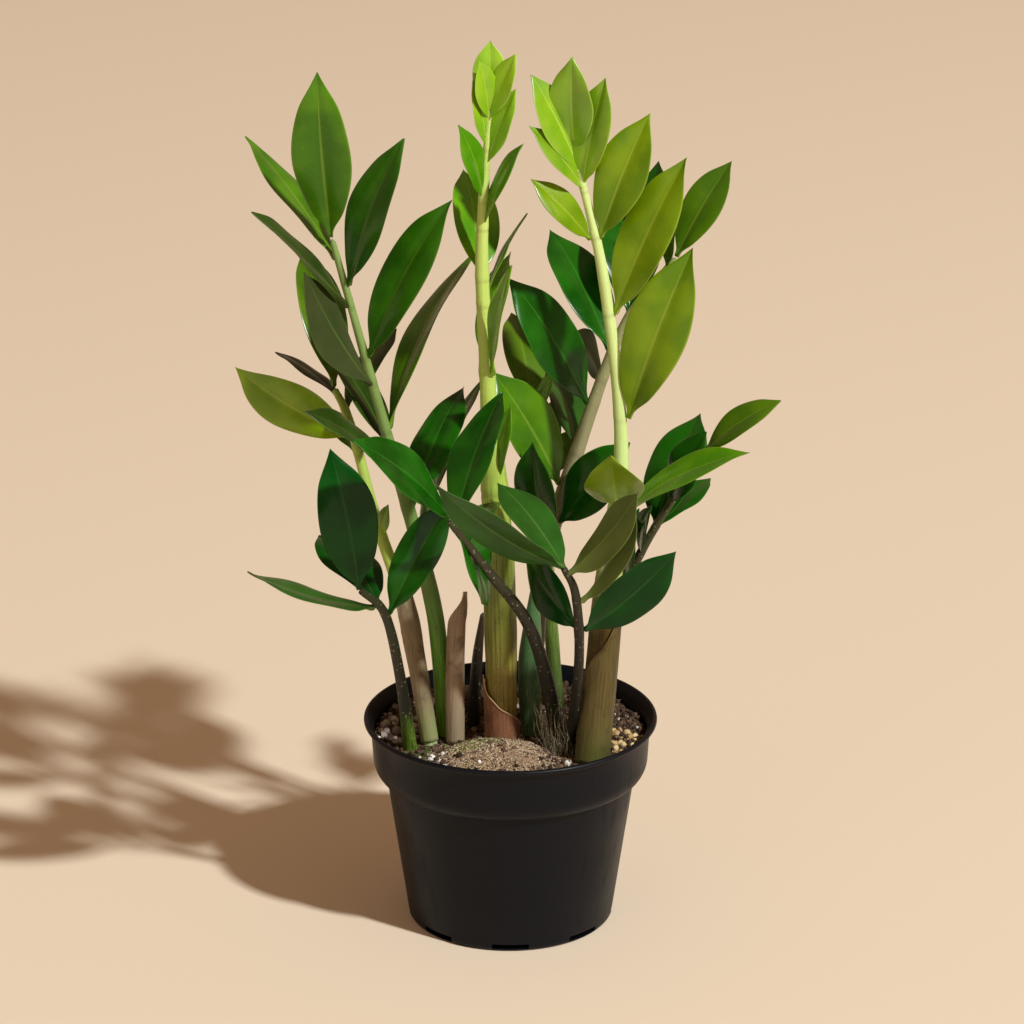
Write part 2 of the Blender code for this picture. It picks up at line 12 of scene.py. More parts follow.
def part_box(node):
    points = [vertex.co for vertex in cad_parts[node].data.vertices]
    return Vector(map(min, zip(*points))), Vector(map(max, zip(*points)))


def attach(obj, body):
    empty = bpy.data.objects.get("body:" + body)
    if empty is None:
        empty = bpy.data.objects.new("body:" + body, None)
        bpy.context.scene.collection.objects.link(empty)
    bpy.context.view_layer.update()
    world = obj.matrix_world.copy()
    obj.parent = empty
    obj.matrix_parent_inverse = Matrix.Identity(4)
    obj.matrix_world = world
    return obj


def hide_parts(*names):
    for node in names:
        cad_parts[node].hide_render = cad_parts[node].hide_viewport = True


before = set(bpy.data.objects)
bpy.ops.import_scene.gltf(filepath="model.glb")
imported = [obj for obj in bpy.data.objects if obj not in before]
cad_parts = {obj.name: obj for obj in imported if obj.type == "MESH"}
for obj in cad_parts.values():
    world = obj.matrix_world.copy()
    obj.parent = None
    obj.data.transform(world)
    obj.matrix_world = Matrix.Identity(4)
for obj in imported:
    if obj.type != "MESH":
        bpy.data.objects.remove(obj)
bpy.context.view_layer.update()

bl_info = {
    "name": "Potted ZZ plant",
    "version": (1, 0, 0),
    "blender": (4, 5, 0),
    "location": "3D View > Sidebar > ZZ plant",
    "description": "Builds the visible pieces and materials of a ZZ plant in a nursery pot",
    "category": "Object",
}

MM = 0.001
UP = Vector((0.0, 0.0, 1.0))
X_AXIS = Vector((1.0, 0.0, 0.0))
SOIL_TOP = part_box("soil")[1].z
POT_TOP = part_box("pot")[1].z
LIP_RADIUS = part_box("pot")[1].x
SOIL_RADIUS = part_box("soil")[1].x
MOUND_LOW, MOUND_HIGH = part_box("root_mound")
MOUND_CENTRE = 0.5 * (MOUND_LOW + MOUND_HIGH)
MOUND_REACH = 0.5 * (MOUND_HIGH - MOUND_LOW)
MOUND_RISE = MOUND_HIGH.z - SOIL_TOP
MOUND_FLATNESS = 2.4

# Stems: points of the centre line (x, y, height above the soil) and radius, in mm.
STEMS = {
    "stem_a": [(-33, -5, 0, 4.4), (-39, -6, 70, 4.3), (-60, 0, 152, 2.9), (-88, 6, 259, 1.5)],
    "stem_b": [(-41, -16, 0, 3.6), (-52, -4, 64, 3.8), (-67, 14, 105, 2.9), (-81, 30, 154, 2.4),
               (-89, 34, 172, 1.6)],
    "stem_c": [(-51, -23, 0, 3.6), (-55, -36, 42, 2.8), (-62, -50, 82, 2.3), (-74, -58, 98, 1.6)],
    "stem_d": [(-4, -18, 0, 7.6), (-6, -16, 98, 8.0), (-11, -10, 186, 4.1), (-14, -4, 256, 3.2),
               (-10, 0, 327, 1.3)],
    "stem_e": [(41, -42, 0, 7.4), (48, -26, 80, 7.2), (55, -14, 156, 3.6), (46, -6, 241, 2.8),
               (31, 0, 306, 1.5)],
    "stem_f": [(26, -22, 0, 4.3), (11, -48, 71, 3.2), (-12, -60, 110, 2.4), (-30, -68, 138, 1.6)],
    "stem_g": [(30, -30, 0, 3.0), (34, -54, 59, 2.5), (32, -66, 98, 2.2), (26, -70, 114, 1.5)],
    "stem_h": [(46, 14, 0, 3.2), (57, 14, 65, 2.6), (71, 12, 101, 2.1), (98, 8, 147, 1.3)],
    "stem_i": [(10, 14, 0, 4.4), (18, 14, 87, 4.1), (36, 24, 149, 3.5), (58, 34, 207, 2.4),
               (83, 40, 239, 1.5)],
    "stem_j": [(24, 32, 0, 4.0), (20, 34, 59, 3.4), (18, 35, 112, 2.6), (10, 36, 165, 1.6)],
    "bud": [(10, -6, 0, 4.4), (10, -4, 37, 6.2), (12, 0, 70, 3.0), (13, 1, 84, 1.0)],
    "stub": [(-19, 6, 0, 3.4), (-17, 8, 34, 2.8), (-14, 10, 60, 1.2)],
}
OLD_SHEATH = [(-28, -17, 0, 4.6), (-28, -15, 31, 4.7), (-27, -12, 60, 4.3), (-25, -9, 79, 3.0)]

# Sheaths: piece, skin (name, body, streaks, rim, foot), centre line, share of it that is covered, arc in
# degrees at the foot and at the top, shares between which the arc changes, CAD node, height over the stem.
SHEATHS = [
    ("old_sheath", ("pinkish_sheath", "#a08a72", "#6f5a46", "#c9b49a", "#948668"),
     OLD_SHEATH, (0.0, 1.0), (165, 400, 300, 335), (0.60, 1.0), ("sheath_a",), 0.0),
    ("left_sheath", ("taupe_sheath", "#8c7c5e", "#65563f", "#b0a284", "#8c9a5c"),
     STEMS["stem_b"], (0.0, 0.31), (130, 430, 220, 340), (0.2, 1.0), ("sheath_b",), 0.0009),
    ("right_sheath", ("mottled_sheath", "#57491b", "#32240d", "#86603a", "#4c5319"),
     STEMS["stem_e"], (0.0, 0.25), (-185, 130, -35, 50), (0.35, 1.0), ("sheath_e",), 0.0009),
    ("foot_scale", ("reddish_scale", "#84583c", "#5c3a26", "#dcbc98", "#84583c"),
     STEMS["stem_d"], (0.0, 0.09), (150, 400, 160, 205), (0.0, 1.0), (), 0.0009),
]

# Leaflets that are one solid with their stem: station along the stem, heading and rise in degrees, length
# and width in mm, roll in degrees, arch in mm, and the finish.
SMALL_LEAFLETS = {
    "stem_b": [(0.93, 133, 14, 50, 18, -20, 2, "shaded"), (0.82, 58, 34, 55, 22, 18, 3, "shaded"),
               (0.47, -62, 69, 20, 8, -108, 1, "lime")],
    "stem_d": [(1.00, 88, 86, 32, 17, 0, 1, "fresh"), (0.93, -165, 79, 34, 12, 64, 1, "fresh"),
               (0.98, -25, 67, 36, 16, -66, 1, "fresh"), (0.98, -128, 76, 31, 14, 104, 1, "fresh"),
               (0.90, -20, 69, 41, 16, -60, 1, "fresh"), (0.84, -136, 68, 42, 17, 76, 2, "bright"),
               (0.79, -30, 64, 49, 17, -44, 2, "bright"), (0.65, 46, 52, 49, 16, 38, 2, "bright"),
               (0.35, -24, 79, 42, 14, -62, 2, "bright")],
    "stem_e": [(0.99, -106, 81, 50, 24, -172, 2, "lush"), (0.96, -171, 64, 53, 22, 56, 2, "lush"),
               (0.93, -34, 77, 56, 22, -90, 2, "lush"), (0.92, -159, 51, 44, 17, 48, 2, "lush")],
    "stem_f": [(0.93, 58, -59, 56, 26, -78, 3, "deep"), (0.82, 74, 10, 44, 22, 20, 3, "deep")],
    "stem_h": [(0.70, 60, 46, 66, 33, 8, 3, "deep"), (0.80, -27, 66, 44, 24, -62, 2, "deep"),
               (0.70, 51, 18, 48, 21, -2, 2, "deep"), (0.57, -74, 63, 34, 14, -96, 2, "deep"),
               (0.37, -49, 80, 46, 18, -76, 2, "deep")],
    "stem_i": [(0.62, 111, 18, 40, 24, -88, 2, "dull"), (0.47, 106, 30, 56, 30, -32, 3, "dull"),
               (0.96, -78, 75, 48, 18, -110, 2, "olive"), (0.87, 84, 54, 68, 27, 36, 3, "deep"),
               (0.77, 96, 47, 64, 28, -16, 3, "deep"), (0.28, -114, 71, 62, 25, -172, 3, "deep")],
    "stem_j": [(0.99, 102, 39, 56, 24, -14, 3, "olive"), (0.93, -47, 64, 32, 12, -74, 1, "bright"),
               (0.73, 10, 57, 31, 16, -40, 2, "olive"), (0.73, 81, 49, 44, 20, 26, 2, "olive")],
}

# The finish of each frond's separate leaflets, and of those that differ from their frond.
FROND_FINISH = {"a": "mature", "b": "olive", "c": "deep", "d": "deep", "e": "lime", "f": "deep", "g": "dull",
                "h": "olive", "i": "deep"}
LEAFLET_FINISH = {
    "a02": "mature_dark", "a04": "shaded", "a05": "mature_dark", "a06": "shaded", "a07": "shaded",
    "a09": "shaded", "a10": "deep", "a11": "mature_dark", "b03": "lime", "b04": "mature", "c01": "inky",
    "c02": "dull", "c03": "inky", "d08": "bright", "d11": "bright", "d12": "bright", "e11": "bright",
    "g03": "brown_back", "g04": "brown_back", "g05": "inky", "g06": "inky", "i05": "olive", "i10": "mature",
}

# Leaf finishes: upper side, its deeper patches, underside, midrib, and roughness of the upper side.
LEAF_FINISHES = {
    "mature": ("#4f7f0c", "#386706", "#55701c", "#7f9c34", 0.26),
    "mature_dark": ("#357208", "#265c06", "#43591c", "#5f8028", 0.26),
    "shaded": ("#2f4a10", "#213808", "#424a28", "#566c2c", 0.34),
    "deep": ("#1b5c08", "#0e4204", "#2c5416", "#3b7420", 0.20),
    "inky": ("#0c4a10", "#06360a", "#1f4418", "#2c5c22", 0.20),
    "dull": ("#2c5e1a", "#244a12", "#50602e", "#5f7a3a", 0.32),
    "brown_back": ("#4c6c26", "#3a5a1a", "#6c7a3c", "#869450", 0.32),
    "olive": ("#567a0c", "#406608", "#5e6e24", "#809432", 0.28),
    "bright": ("#649c08", "#488406", "#688422", "#8cae36", 0.28),
    "lime": ("#7c9c08", "#608406", "#7e9024", "#a6ba40", 0.28),
    "lush": ("#8aae14", "#6c9a08", "#84a428", "#b8d05c", 0.36),
    "fresh": ("#98c41c", "#78ac10", "#90b82a", "#bcda5a", 0.38),
}
# Specular level and wax coat of a finish; above YOUNG_GLOSS the shine is soft.
USUAL_GLOSS = 0.24
YOUNG_GLOSS = 0.40
GLOSS = {"lush": 0.50, "fresh": 0.50, "inky": 0.12, "deep": 0.18, "shaded": 0.13, "dull": 0.14,
         "mature": 0.20}

# Stem finishes: colours at the foot, low down, further up and at the tip; streak colour; speckles; slot.
STEM_FINISHES = {
    "stem_a": ("#78a82c", "#5f9a26", "#5f8038", "#8aa45a", "#32501a", 0.15, "mature_stem"),
    "stem_b": ("#b4c890", "#927f5e", "#a4c050", "#b4cc5c", "#6a5a44", 0.10, "fresh_stem"),
    "stem_c": ("#6a8a2c", "#24271a", "#201f14", "#3a4024", "#12100a", 0.50, "dark_stem"),
    "stem_d": ("#8a7030", "#6f7e2e", "#b0ce58", "#cbe07a", "#4c4618", 0.25, "fresh_stem"),
    "stem_e": ("#49531b", "#523f14", "#d2ea94", "#d2e494", "#46380f", 0.25, "fresh_stem"),
    "stem_f": ("#1e2216", "#1c1d13", "#242216", "#3c3c24", "#0e0d08", 0.50, "dark_stem"),
    "stem_g": ("#151910", "#1a1912", "#211e14", "#34301e", "#0b0a06", 0.45, "dark_stem"),
    "stem_h": ("#1e2014", "#242218", "#2e2c1c", "#4a4c2c", "#12100b", 0.45, "dark_stem"),
    "stem_i": ("#4a5230", "#6f6f50", "#9a9070", "#8a9458", "#4a4632", 0.35, "mature_stem"),
    "stem_j": ("#3f4f28", "#5f7a30", "#8aa84a", "#9abc58", "#34461e", 0.20, "fresh_stem"),
    "bud": ("#5f8056", "#50704a", "#42643a", "#587e4c", "#24402a", 0.15, "mature_stem"),
    "stub": ("#2c2418", "#262016", "#211c14", "#3c3020", "#100d08", 0.35, "dark_stem"),
}


# ---- properties ----

def colour_property(name, description, hexcode):
    return FloatVectorProperty(name=name, description=description, subtype="COLOR", size=3, min=0.0, max=1.0,
                               default=rgb(hexcode)[:3])


def length_property(name, description, value):
    return FloatProperty(name=name, description=description, default=value, min=0.0, unit="LENGTH",
                         precision=5)


def rgb(hexcode):
    """Linear colour of a display colour written as #rrggbb."""
    parts = [int(hexcode[i:i + 2], 16) / 255.0 for i in (1, 3, 5)]
    return tuple(c / 12.92 if c <= 0.04045 else ((c + 0.055) / 1.055) ** 2.4 for c in parts) + (1.0,)


class PotLooks(bpy.types.PropertyGroup):
    colour: colour_property("Plastic", "Colour of the pot's plastic", "#080b13")
    dust: colour_property("Dust", "Colour of the dust and dried soil on the plastic", "#6a5a48")
    roundness: IntProperty(name="Roundness", description="Segments round the pot", default=176, min=48)


class SoilLooks(bpy.types.PropertyGroup):
    crumbs: IntProperty(name="Crumbs", description="Loose crumbs on the soil", default=2600, min=0)
    perlite: IntProperty(name="Perlite", description="White grains on the soil", default=46, min=0)
    roughness: length_property("Unevenness", "How far the soil's surface rises and falls", 0.0022)


class LeafLooks(bpy.types.PropertyGroup):
    thickness: length_property("Thickness", "Thickness of a leaflet at its middle", 0.0009)
    edge: length_property("Edge", "Thickness of a leaflet at its margin", 0.0004)
    wave: FloatProperty(name="Wave", description="Height of the margin's waves, as a share of the width",
                        default=0.030, min=0.0)
    rib: length_property("Midrib", "Depth of the groove along the midrib", 0.0006)


class StemLooks(bpy.types.PropertyGroup):
    swelling: FloatProperty(name="Swelling", description="How much a stem swells where a leaflet joins it",
                            default=0.06, min=0.0)
    ring_step: length_property("Ring step", "Distance between rings along a stem", 0.0017)


class StageLooks(bpy.types.PropertyGroup):
    floor: colour_property("Floor", "Colour of the floor", "#e7d6bf")
    key: FloatProperty(name="Key light", description="Power of the key light, in watts", default=1560.0)
    fill: FloatProperty(name="Fill light", description="Power of the fill light, in watts", default=3.5)
    sky: FloatProperty(name="Sky", description="Strength of the light from all round", default=0.31)


# ---- shader trees ----

class Net:
    """Adds nodes to one shader tree and links them. A constant colour may be given as #rrggbb."""

    def __init__(self, tree):
        self.tree = tree

    def link(self, value, socket):
        self.tree.links.new(value, socket)

    def add(self, kind, inputs=None, **settings):
        node = self.tree.nodes.new("ShaderNode" + kind)
        for key, value in settings.items():
            setattr(node, key, value)
        for key, value in (inputs or {}).items():
            if isinstance(value, bpy.types.NodeSocket):
                self.link(value, node.inputs[key])
            else:
                node.inputs[key].default_value = rgb(value) if isinstance(value, str) else value
        return node

    def math(self, operation, *values):
        return self.add("Math", dict(enumerate(values)), operation=operation).outputs[0]

    def plus(self, first, second):
        return self.math("ADD", first, second)

    def times(self, first, second):
        return self.math("MULTIPLY", first, second)

    def mix(self, factor, first, second):
        return self.add("Mix", {0: factor, 6: first, 7: second}, data_type="RGBA").outputs[2]

    def over(self, first, second, mask, share):
        """The second colour laid over the first where a mask says, up to a share."""
        return self.mix(self.times(mask, share), first, second)

    def span(self, value, low, high, to_low=0.0, to_high=1.0):
        """Value taken smoothly from low..high to to_low..to_high."""
        inputs = {0: value, 1: low, 2: high, 3: to_low, 4: to_high}
        return self.add("MapRange", inputs, interpolation_type="SMOOTHSTEP").outputs[0]

    def noise(self, vector, scale, detail=3.0, rough=0.55):
        inputs = {"Vector": vector, "Scale": scale, "Detail": detail, "Roughness": rough}
        return self.add("TexNoise", inputs).outputs[0]

    def scaled(self, vector, scale):
        return self.add("Mapping", {"Vector": vector, "Scale": scale}).outputs[0]

    def parts(self, vector):
        return self.add("SeparateXYZ", {0: vector}).outputs

    def attribute(self, name, output="Fac"):
        return self.add("Attribute", attribute_name=name).outputs[output]

    def spot(self):
        return self.add("TexCoord").outputs["Object"]

    def group(self, name, **inputs):
        return self.add("Group", inputs, node_tree=bpy.data.node_groups[name]).outputs

    def patches(self, vector, scale, cover, first, second):
        return self.group("patches", Vector=vector, Scale=scale, Cover=cover, First=first, Second=second)

    def specks(self, vector, scale, size):
        return self.group("specks", Vector=vector, Scale=scale, Size=size)["Mask"]


class Skin(Net):
    """The shader tree of a new Principled material, with its constant values set on the shader."""

    def __init__(self, name, **constants):
        self.material = bpy.data.materials.new(name)
        self.material.use_nodes = True
        super().__init__(self.material.node_tree)
        self.shader = self.tree.nodes["Principled BSDF"].inputs
        for key, value in constants.items():
            self.shader[key.replace("_", " ")].default_value = value

    def dress(self, colour, rough, relief, strength, distance):
        """Link the skin's colour, roughness and relief to its shader, and return the material."""
        self.link(colour, self.shader["Base Color"])
        self.link(rough, self.shader["Roughness"])
        bump = self.add("Bump", {"Height": relief, "Strength": strength, "Distance": distance})
        self.link(bump.outputs[0], self.shader["Normal"])
        return self.material


def new_group(name, inputs, outputs):
    """A shader node group with the named sockets; each is a name and a socket kind."""
    tree = bpy.data.node_groups.new(name, "ShaderNodeTree")
    for direction, sockets in (("INPUT", inputs), ("OUTPUT", outputs)):
        for label, kind in sockets:
            tree.interface.new_socket(name=label, in_out=direction, socket_type="NodeSocket" + kind)
    return Net(tree), tree.nodes.new("NodeGroupInput").outputs, tree.nodes.new("NodeGroupOutput").inputs


def make_patches_group():
    """Soft patches of a second colour over a first."""
    sockets = [("Vector", "Vector"), ("Scale", "Float"), ("Cover", "Float"), ("First", "Color"),
               ("Second", "Color")]
    net, given, out = new_group("patches", sockets, [("Color", "Color"), ("Mask", "Float")])
    cloud = net.noise(given["Vector"], given["Scale"], 4.0, 0.6)
    low = net.math("SUBTRACT", 0.62, given["Cover"])
    mask = net.span(cloud, low, net.plus(low, 0.22))
    net.link(net.mix(mask, given["First"], given["Second"]), out["Color"])
    net.link(mask, out["Mask"])


def make_specks_group():
    """Small round specks, scattered."""
    sockets = [("Vector", "Vector"), ("Scale", "Float"), ("Size", "Float")]
    net, given, out = new_group("specks", sockets, [("Mask", "Float")])
    cell = net.add("TexVoronoi", {"Vector": given["Vector"], "Scale": given["Scale"]})
    sparse = net.math("GREATER_THAN", net.add("SeparateColor", {0: cell.outputs["Color"]}).outputs[0], 0.55)
    edge = net.times(given["Size"], 0.5)
    spot = net.span(cell.outputs["Distance"], edge, given["Size"], 1.0, 0.0)
    net.link(net.times(spot, sparse), out["Mask"])


def make_fibres_group():
    """Streaks along a stem or a sheath, from its place (round, round, along)."""
    sockets = [("Place", "Vector"), ("Fine", "Float")]
    net, given, out = new_group("fibres", sockets, [("Mask", "Float"), ("Height", "Float")])
    streak = net.noise(net.scaled(given["Place"], (1.0, 1.0, 0.16)), given["Fine"], 3.0, 0.65)
    net.link(net.span(streak, 0.42, 0.66), out["Mask"])
    net.link(streak, out["Height"])


def make_blade_group():
    """Midrib, side veins and margin of a leaflet, from its place (across, along, side)."""
    masks = [(name, "Float") for name in ("Midrib", "Veins", "Margin", "Upper")]
    net, given, out = new_group("blade_lines", [("Place", "Vector")], masks)
    place = net.parts(given["Place"])
    across = net.math("ABSOLUTE", place[0])
    rib_width = net.span(place[1], 0.0, 1.0, 0.10, 0.03)
    midrib = net.span(across, net.times(rib_width, 0.35), rib_width, 1.0, 0.0)
    bend = net.times(net.math("POWER", across, 1.4), 0.17)
    wobble = net.times(net.noise(given["Place"], 2.0, 0.0), 0.05)
    run = net.plus(net.math("SUBTRACT", place[1], bend), wobble)
    wave = net.math("ABSOLUTE", net.math("SINE", net.times(run, 44.0)))
    veins = net.times(net.span(wave, 0.0, 0.16, 1.0, 0.0), net.span(across, 0.75, 0.96, 1.0, 0.0))
    net.link(midrib, out["Midrib"])
    net.link(veins, out["Veins"])
    net.link(net.span(across, 0.93, 1.0), out["Margin"])
    net.link(net.span(place[2], -0.4, 0.4), out["Upper"])


def leaf_material(name):
    upper, patch, under, rib, rough = LEAF_FINISHES[name]
    gloss = GLOSS.get(name, USUAL_GLOSS)
    soft = gloss > YOUNG_GLOSS
    net = Skin(f"{name}_leaf_skin", Coat_Roughness=0.34 if soft else 0.20, Specular_IOR_Level=gloss)
    spot = net.spot()
    lines = net.group("blade_lines", Place=net.attribute("leaf_place", "Vector"))
    cloud = net.noise(spot, 38.0, 2.0)
    skin = net.mix(net.span(cloud, 0.35, 0.65), upper, patch)
    skin = net.over(skin, rib, lines["Veins"], 0.10)
    skin = net.over(skin, rib, lines["Midrib"], 0.45)
    back = net.mix(net.span(cloud, 0.3, 0.9, 0.0, 0.6), under, patch)
    back = net.over(back, rib, lines["Midrib"], 0.55)
    colour = net.mix(lines["Upper"], back, skin)
    colour = net.over(colour, rib, lines["Margin"], 0.35)
    colour = net.over(colour, rib, net.specks(spot, 260.0, 0.13), 0.30)
    colour = net.add("HueSaturation", {"Color": colour, "Value": net.attribute("leaf_tone")}).outputs[0]
    rough_upper = net.span(net.noise(spot, 70.0), 0.3, 0.7, rough - 0.05, rough + 0.09)
    rougher_back = net.span(lines["Upper"], 0.0, 1.0, 0.22, 0.0)
    net.link(net.span(lines["Upper"], 0.0, 1.0, 0.04, gloss), net.shader["Coat Weight"])
    relief = net.plus(net.times(lines["Veins"], -0.2), net.times(net.noise(spot, 900.0, 2.0), 0.25))
    return net.dress(colour, net.plus(rough_upper, rougher_back), relief, 0.35, 0.0003)


def stem_material(name):
    foot, low, high, tip, streak, speckle, _ = STEM_FINISHES[name]
    net = Skin(f"{name}_skin", Specular_IOR_Level=0.32)
    spot = net.spot()
    along, scar = net.parts(net.attribute("stem_marks", "Vector"))[:2]
    cloud = net.noise(spot, 60.0, 4.0)
    ragged = net.plus(along, net.times(net.math("SUBTRACT", cloud, 0.5), 0.16))
    ramp = net.add("ValToRGB", {0: ragged})
    elements = ramp.color_ramp.elements
    elements[0].color, elements[1].color = rgb(foot), rgb(tip)
    elements[0].position, elements[1].position = 0.02, 0.95
    for position, colour in ((0.20, low), (0.38, high)):
        elements.new(position).color = rgb(colour)
    fibres = net.group("fibres", Place=net.attribute("stem_place", "Vector"), Fine=7.0)
    lower = net.span(along, 0.26, 0.42, 0.75, 0.15)
    colour = net.over(ramp.outputs[0], streak, fibres["Mask"], lower)
    specks = net.specks(spot, 520.0, 0.34)
    pale = net.mix(0.5, ramp.outputs[0], "#c9c39a")
    colour = net.over(colour, pale, specks, speckle)
    blots = net.patches(spot, 130.0, -0.06, colour, streak)["Color"]
    colour = net.over(colour, blots, lower, 0.8)
    colour = net.over(colour, streak, scar, 0.22)
    relief = net.plus(net.times(fibres["Height"], 0.9), net.times(specks, 0.5))
    return net.dress(colour, net.span(cloud, 0.3, 0.7, 0.34, 0.52), relief, 0.45, 0.0004)


def sheath_material(name, body, streak, rim, green):
    """Dry papery sheath: fibres along it, a pale thin rim and a foot that is still green."""
    net = Skin(name, Specular_IOR_Level=0.35, Sheen_Weight=0.08)
    spot = net.spot()
    along, rim_mask = net.parts(net.attribute("stem_marks", "Vector"))[:2]
    fibres = net.group("fibres", Place=net.attribute("stem_place", "Vector"), Fine=9.0)
    colour = net.patches(spot, 90.0, 0.12, body, streak)["Color"]
    colour = net.over(colour, streak, fibres["Mask"], 0.55)
    ragged = net.plus(along, net.times(net.noise(spot, 90.0), 0.3))
    colour = net.mix(net.span(ragged, 0.1, 0.5, 0.75, 0.0), colour, green)
    colour = net.over(colour, rim, rim_mask, 0.7)
    return net.dress(colour, net.span(fibres["Height"], 0.3, 0.7, 0.5, 0.8), fibres["Height"], 0.6, 0.0005)


def plastic_material():
    looks = bpy.context.scene.zz_pot
    net = Skin("black_pot_plastic", Specular_IOR_Level=0.17)
    spot = net.spot()
    height = net.parts(spot)[2]
    low = net.span(height, 0.0, POT_TOP * 0.3, 0.022, 0.003)
    high = net.span(height, POT_TOP - 0.004, POT_TOP, 0.0, 0.03)
    cloud = net.patches(spot, 30.0, 0.02, "#000000", "#ffffff")["Mask"]
    dust = net.times(net.plus(low, high), net.plus(cloud, 0.35))
    dust = net.plus(dust, net.times(net.specks(spot, 330.0, 0.16), 0.05))
    colour = net.mix(dust, (*looks.colour, 1.0), (*looks.dust, 1.0))
    scuffs = net.span(net.noise(net.scaled(spot, (1.0, 1.0, 0.12)), 260.0), 0.5, 0.75, 0.0, 0.10)
    satin = net.plus(net.span(net.noise(spot, 45.0), 0.3, 0.7, 0.36, 0.46), scuffs)
    relief = net.plus(net.noise(spot, 1500.0, 2.0), net.times(net.noise(spot, 140.0), 1.2))
    return net.dress(colour, net.plus(satin, net.times(dust, 0.5)), relief, 0.10, 0.0002)


def grain_material(name, first, second, rough):
    """Loose grains: every grain has its own tone, and patches of a third colour."""
    net = Skin(name, Specular_IOR_Level=0.3)
    spot = net.spot()
    tone = net.attribute("grain_tone")
    colour = net.patches(spot, 700.0, 0.04, net.mix(tone, first, second), "#3a2c20")["Color"]
    rough_tone = net.span(tone, 0.0, 1.0, rough, rough - 0.15)
    return net.dress(colour, rough_tone, net.noise(spot, 1100.0), 0.5, 0.0004)


def earth_material(name, first, second, third, moss):
    """Soil, root mound or tuber: crumbs of three colours, with moss where the moss attribute says."""
    net = Skin(name, Specular_IOR_Level=0.25)
    spot = net.spot()
    fine = net.patches(spot, 420.0, 0.12, first, second)["Color"]
    coarse = net.patches(spot, 160.0, 0.02, fine, third)["Color"]
    specks = net.specks(spot, 900.0, 0.42)
    colour = net.over(coarse, "#cdb892", specks, 0.55)
    ragged = net.plus(net.attribute("moss"), net.times(net.noise(spot, 240.0), 0.9))
    colour = net.over(colour, moss, net.span(ragged, 0.75, 1.15), 0.8)
    crumbs = net.add("TexVoronoi", {"Vector": spot, "Scale": 620.0}).outputs["Distance"]
    relief = net.plus(crumbs, net.noise(spot, 420.0, 5.0, 0.7))
    return net.dress(colour, net.span(specks, 0.0, 1.0, 0.92, 0.7), relief, 0.9, 0.0009)


def root_material(name, first, second):
    """Fine roots: every root has its own tone, and patches of a third colour."""
    net = Skin(name, Specular_IOR_Level=0.35)
    spot = net.spot()
    tone = net.attribute("grain_tone")
    colour = net.patches(spot, 260.0, 0.06, net.mix(tone, first, second), "#6f5a3e")["Color"]
    return net.dress(colour, net.span(tone, 0.0, 1.0, 0.75, 0.6), net.noise(spot, 900.0), 0.4, 0.0002)


# ---- making pieces ----

def linked(name, data):
    """A new object with this data, in the scene."""
    made = bpy.data.objects.new(name, data)
    bpy.context.scene.collection.objects.link(made)
    return made


def mesh_of(name, bm, material):
    mesh = bpy.data.meshes.new(name)
    bm.to_mesh(mesh)
    bm.free()
    mesh.materials.append(material)
    return mesh


def add_piece(name, bm, material, nodes=(), smooth=60.0, subdivide=0):
    """A finished piece from a bmesh: it rides on the one body and stands for its CAD nodes."""
    mesh = mesh_of(name, bm, material)
    piece = linked(name, mesh)
    mesh.shade_smooth()
    if smooth < 180.0:
        mesh.set_sharp_from_angle(angle=math.radians(smooth))
    if subdivide:
        modifier = piece.modifiers.new("subdivide", "SUBSURF")
        modifier.levels = modifier.render_levels = subdivide
    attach(piece, "root")
    if nodes:
        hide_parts(*nodes)
    return piece


def faces_out(bm):
    bmesh.ops.recalc_face_normals(bm, faces=bm.faces)


def closed(bm, distance=1e-6):
    """Merge a bmesh's doubles and turn its faces out."""
    bmesh.ops.remove_doubles(bm, verts=bm.verts, dist=distance)
    faces_out(bm)
    return bm


def solid_sheet(bm, thickness):
    """Give an open sheet a thickness, and turn the faces of the closed body out."""
    faces_out(bm)
    bmesh.ops.solidify(bm, geom=bm.faces[:], thickness=thickness)
    faces_out(bm)


def unit_grid(across, along):
    bm = bmesh.new()
    bmesh.ops.create_grid(bm, x_segments=across, y_segments=along, size=1.0)
    return bm


def stem_grid(across, along):
    """A unit grid with the places and marks that the stem and sheath materials read."""
    bm = unit_grid(across, along)
    layers = bm.verts.layers.float_vector
    return bm, layers.new("stem_place"), layers.new("stem_marks")


def curve_through(points, t):
    """A point on the smooth curve through the given points, t from 0 to 1; any number of columns."""
    rows = [[2 * a - b for a, b in zip(points[0], points[1])]]
    rows += [list(p) for p in points]
    rows += [[2 * a - b for a, b in zip(points[-1], points[-2])]]
    spans = len(points) - 1
    i = min(int(t * spans), spans - 1)
    u = t * spans - i
    out = []
    for a, b, c, d in zip(*rows[i:i + 4]):
        out.append(0.5 * (2 * b + (c - a) * u + (2 * a - 5 * b + 4 * c - d) * u * u
                          + (3 * b - a - 3 * c + d) * u ** 3))
    return out


def stem_point(points, t):
    """Place and radius at a station of a stem, in metres."""
    x, y, h, radius = curve_through(points, t)
    return Vector((x * MM, y * MM, SOIL_TOP + h * MM)), radius * MM


def stem_direction(points, t):
    step = 0.01
    start = stem_point(points, max(t - step, 0.0))[0]
    end = stem_point(points, min(t + step, 1.0))[0]
    return (end - start).normalized()


def stem_places(points, steps):
    """Places spread evenly along a stem, from its foot to its tip."""
    return [stem_point(points, k / steps)[0] for k in range(steps + 1)]


def stem_length(points):
    places = stem_places(points, 40)
    return sum((b - a).length for a, b in zip(places, places[1:]))


def spoke_at(direction, angle):
    """The unit vector square to a direction, turned by an angle from the x axis."""
    x_axis = (X_AXIS - direction * X_AXIS.dot(direction)).normalized()
    return x_axis * math.cos(angle) + direction.cross(x_axis) * math.sin(angle)


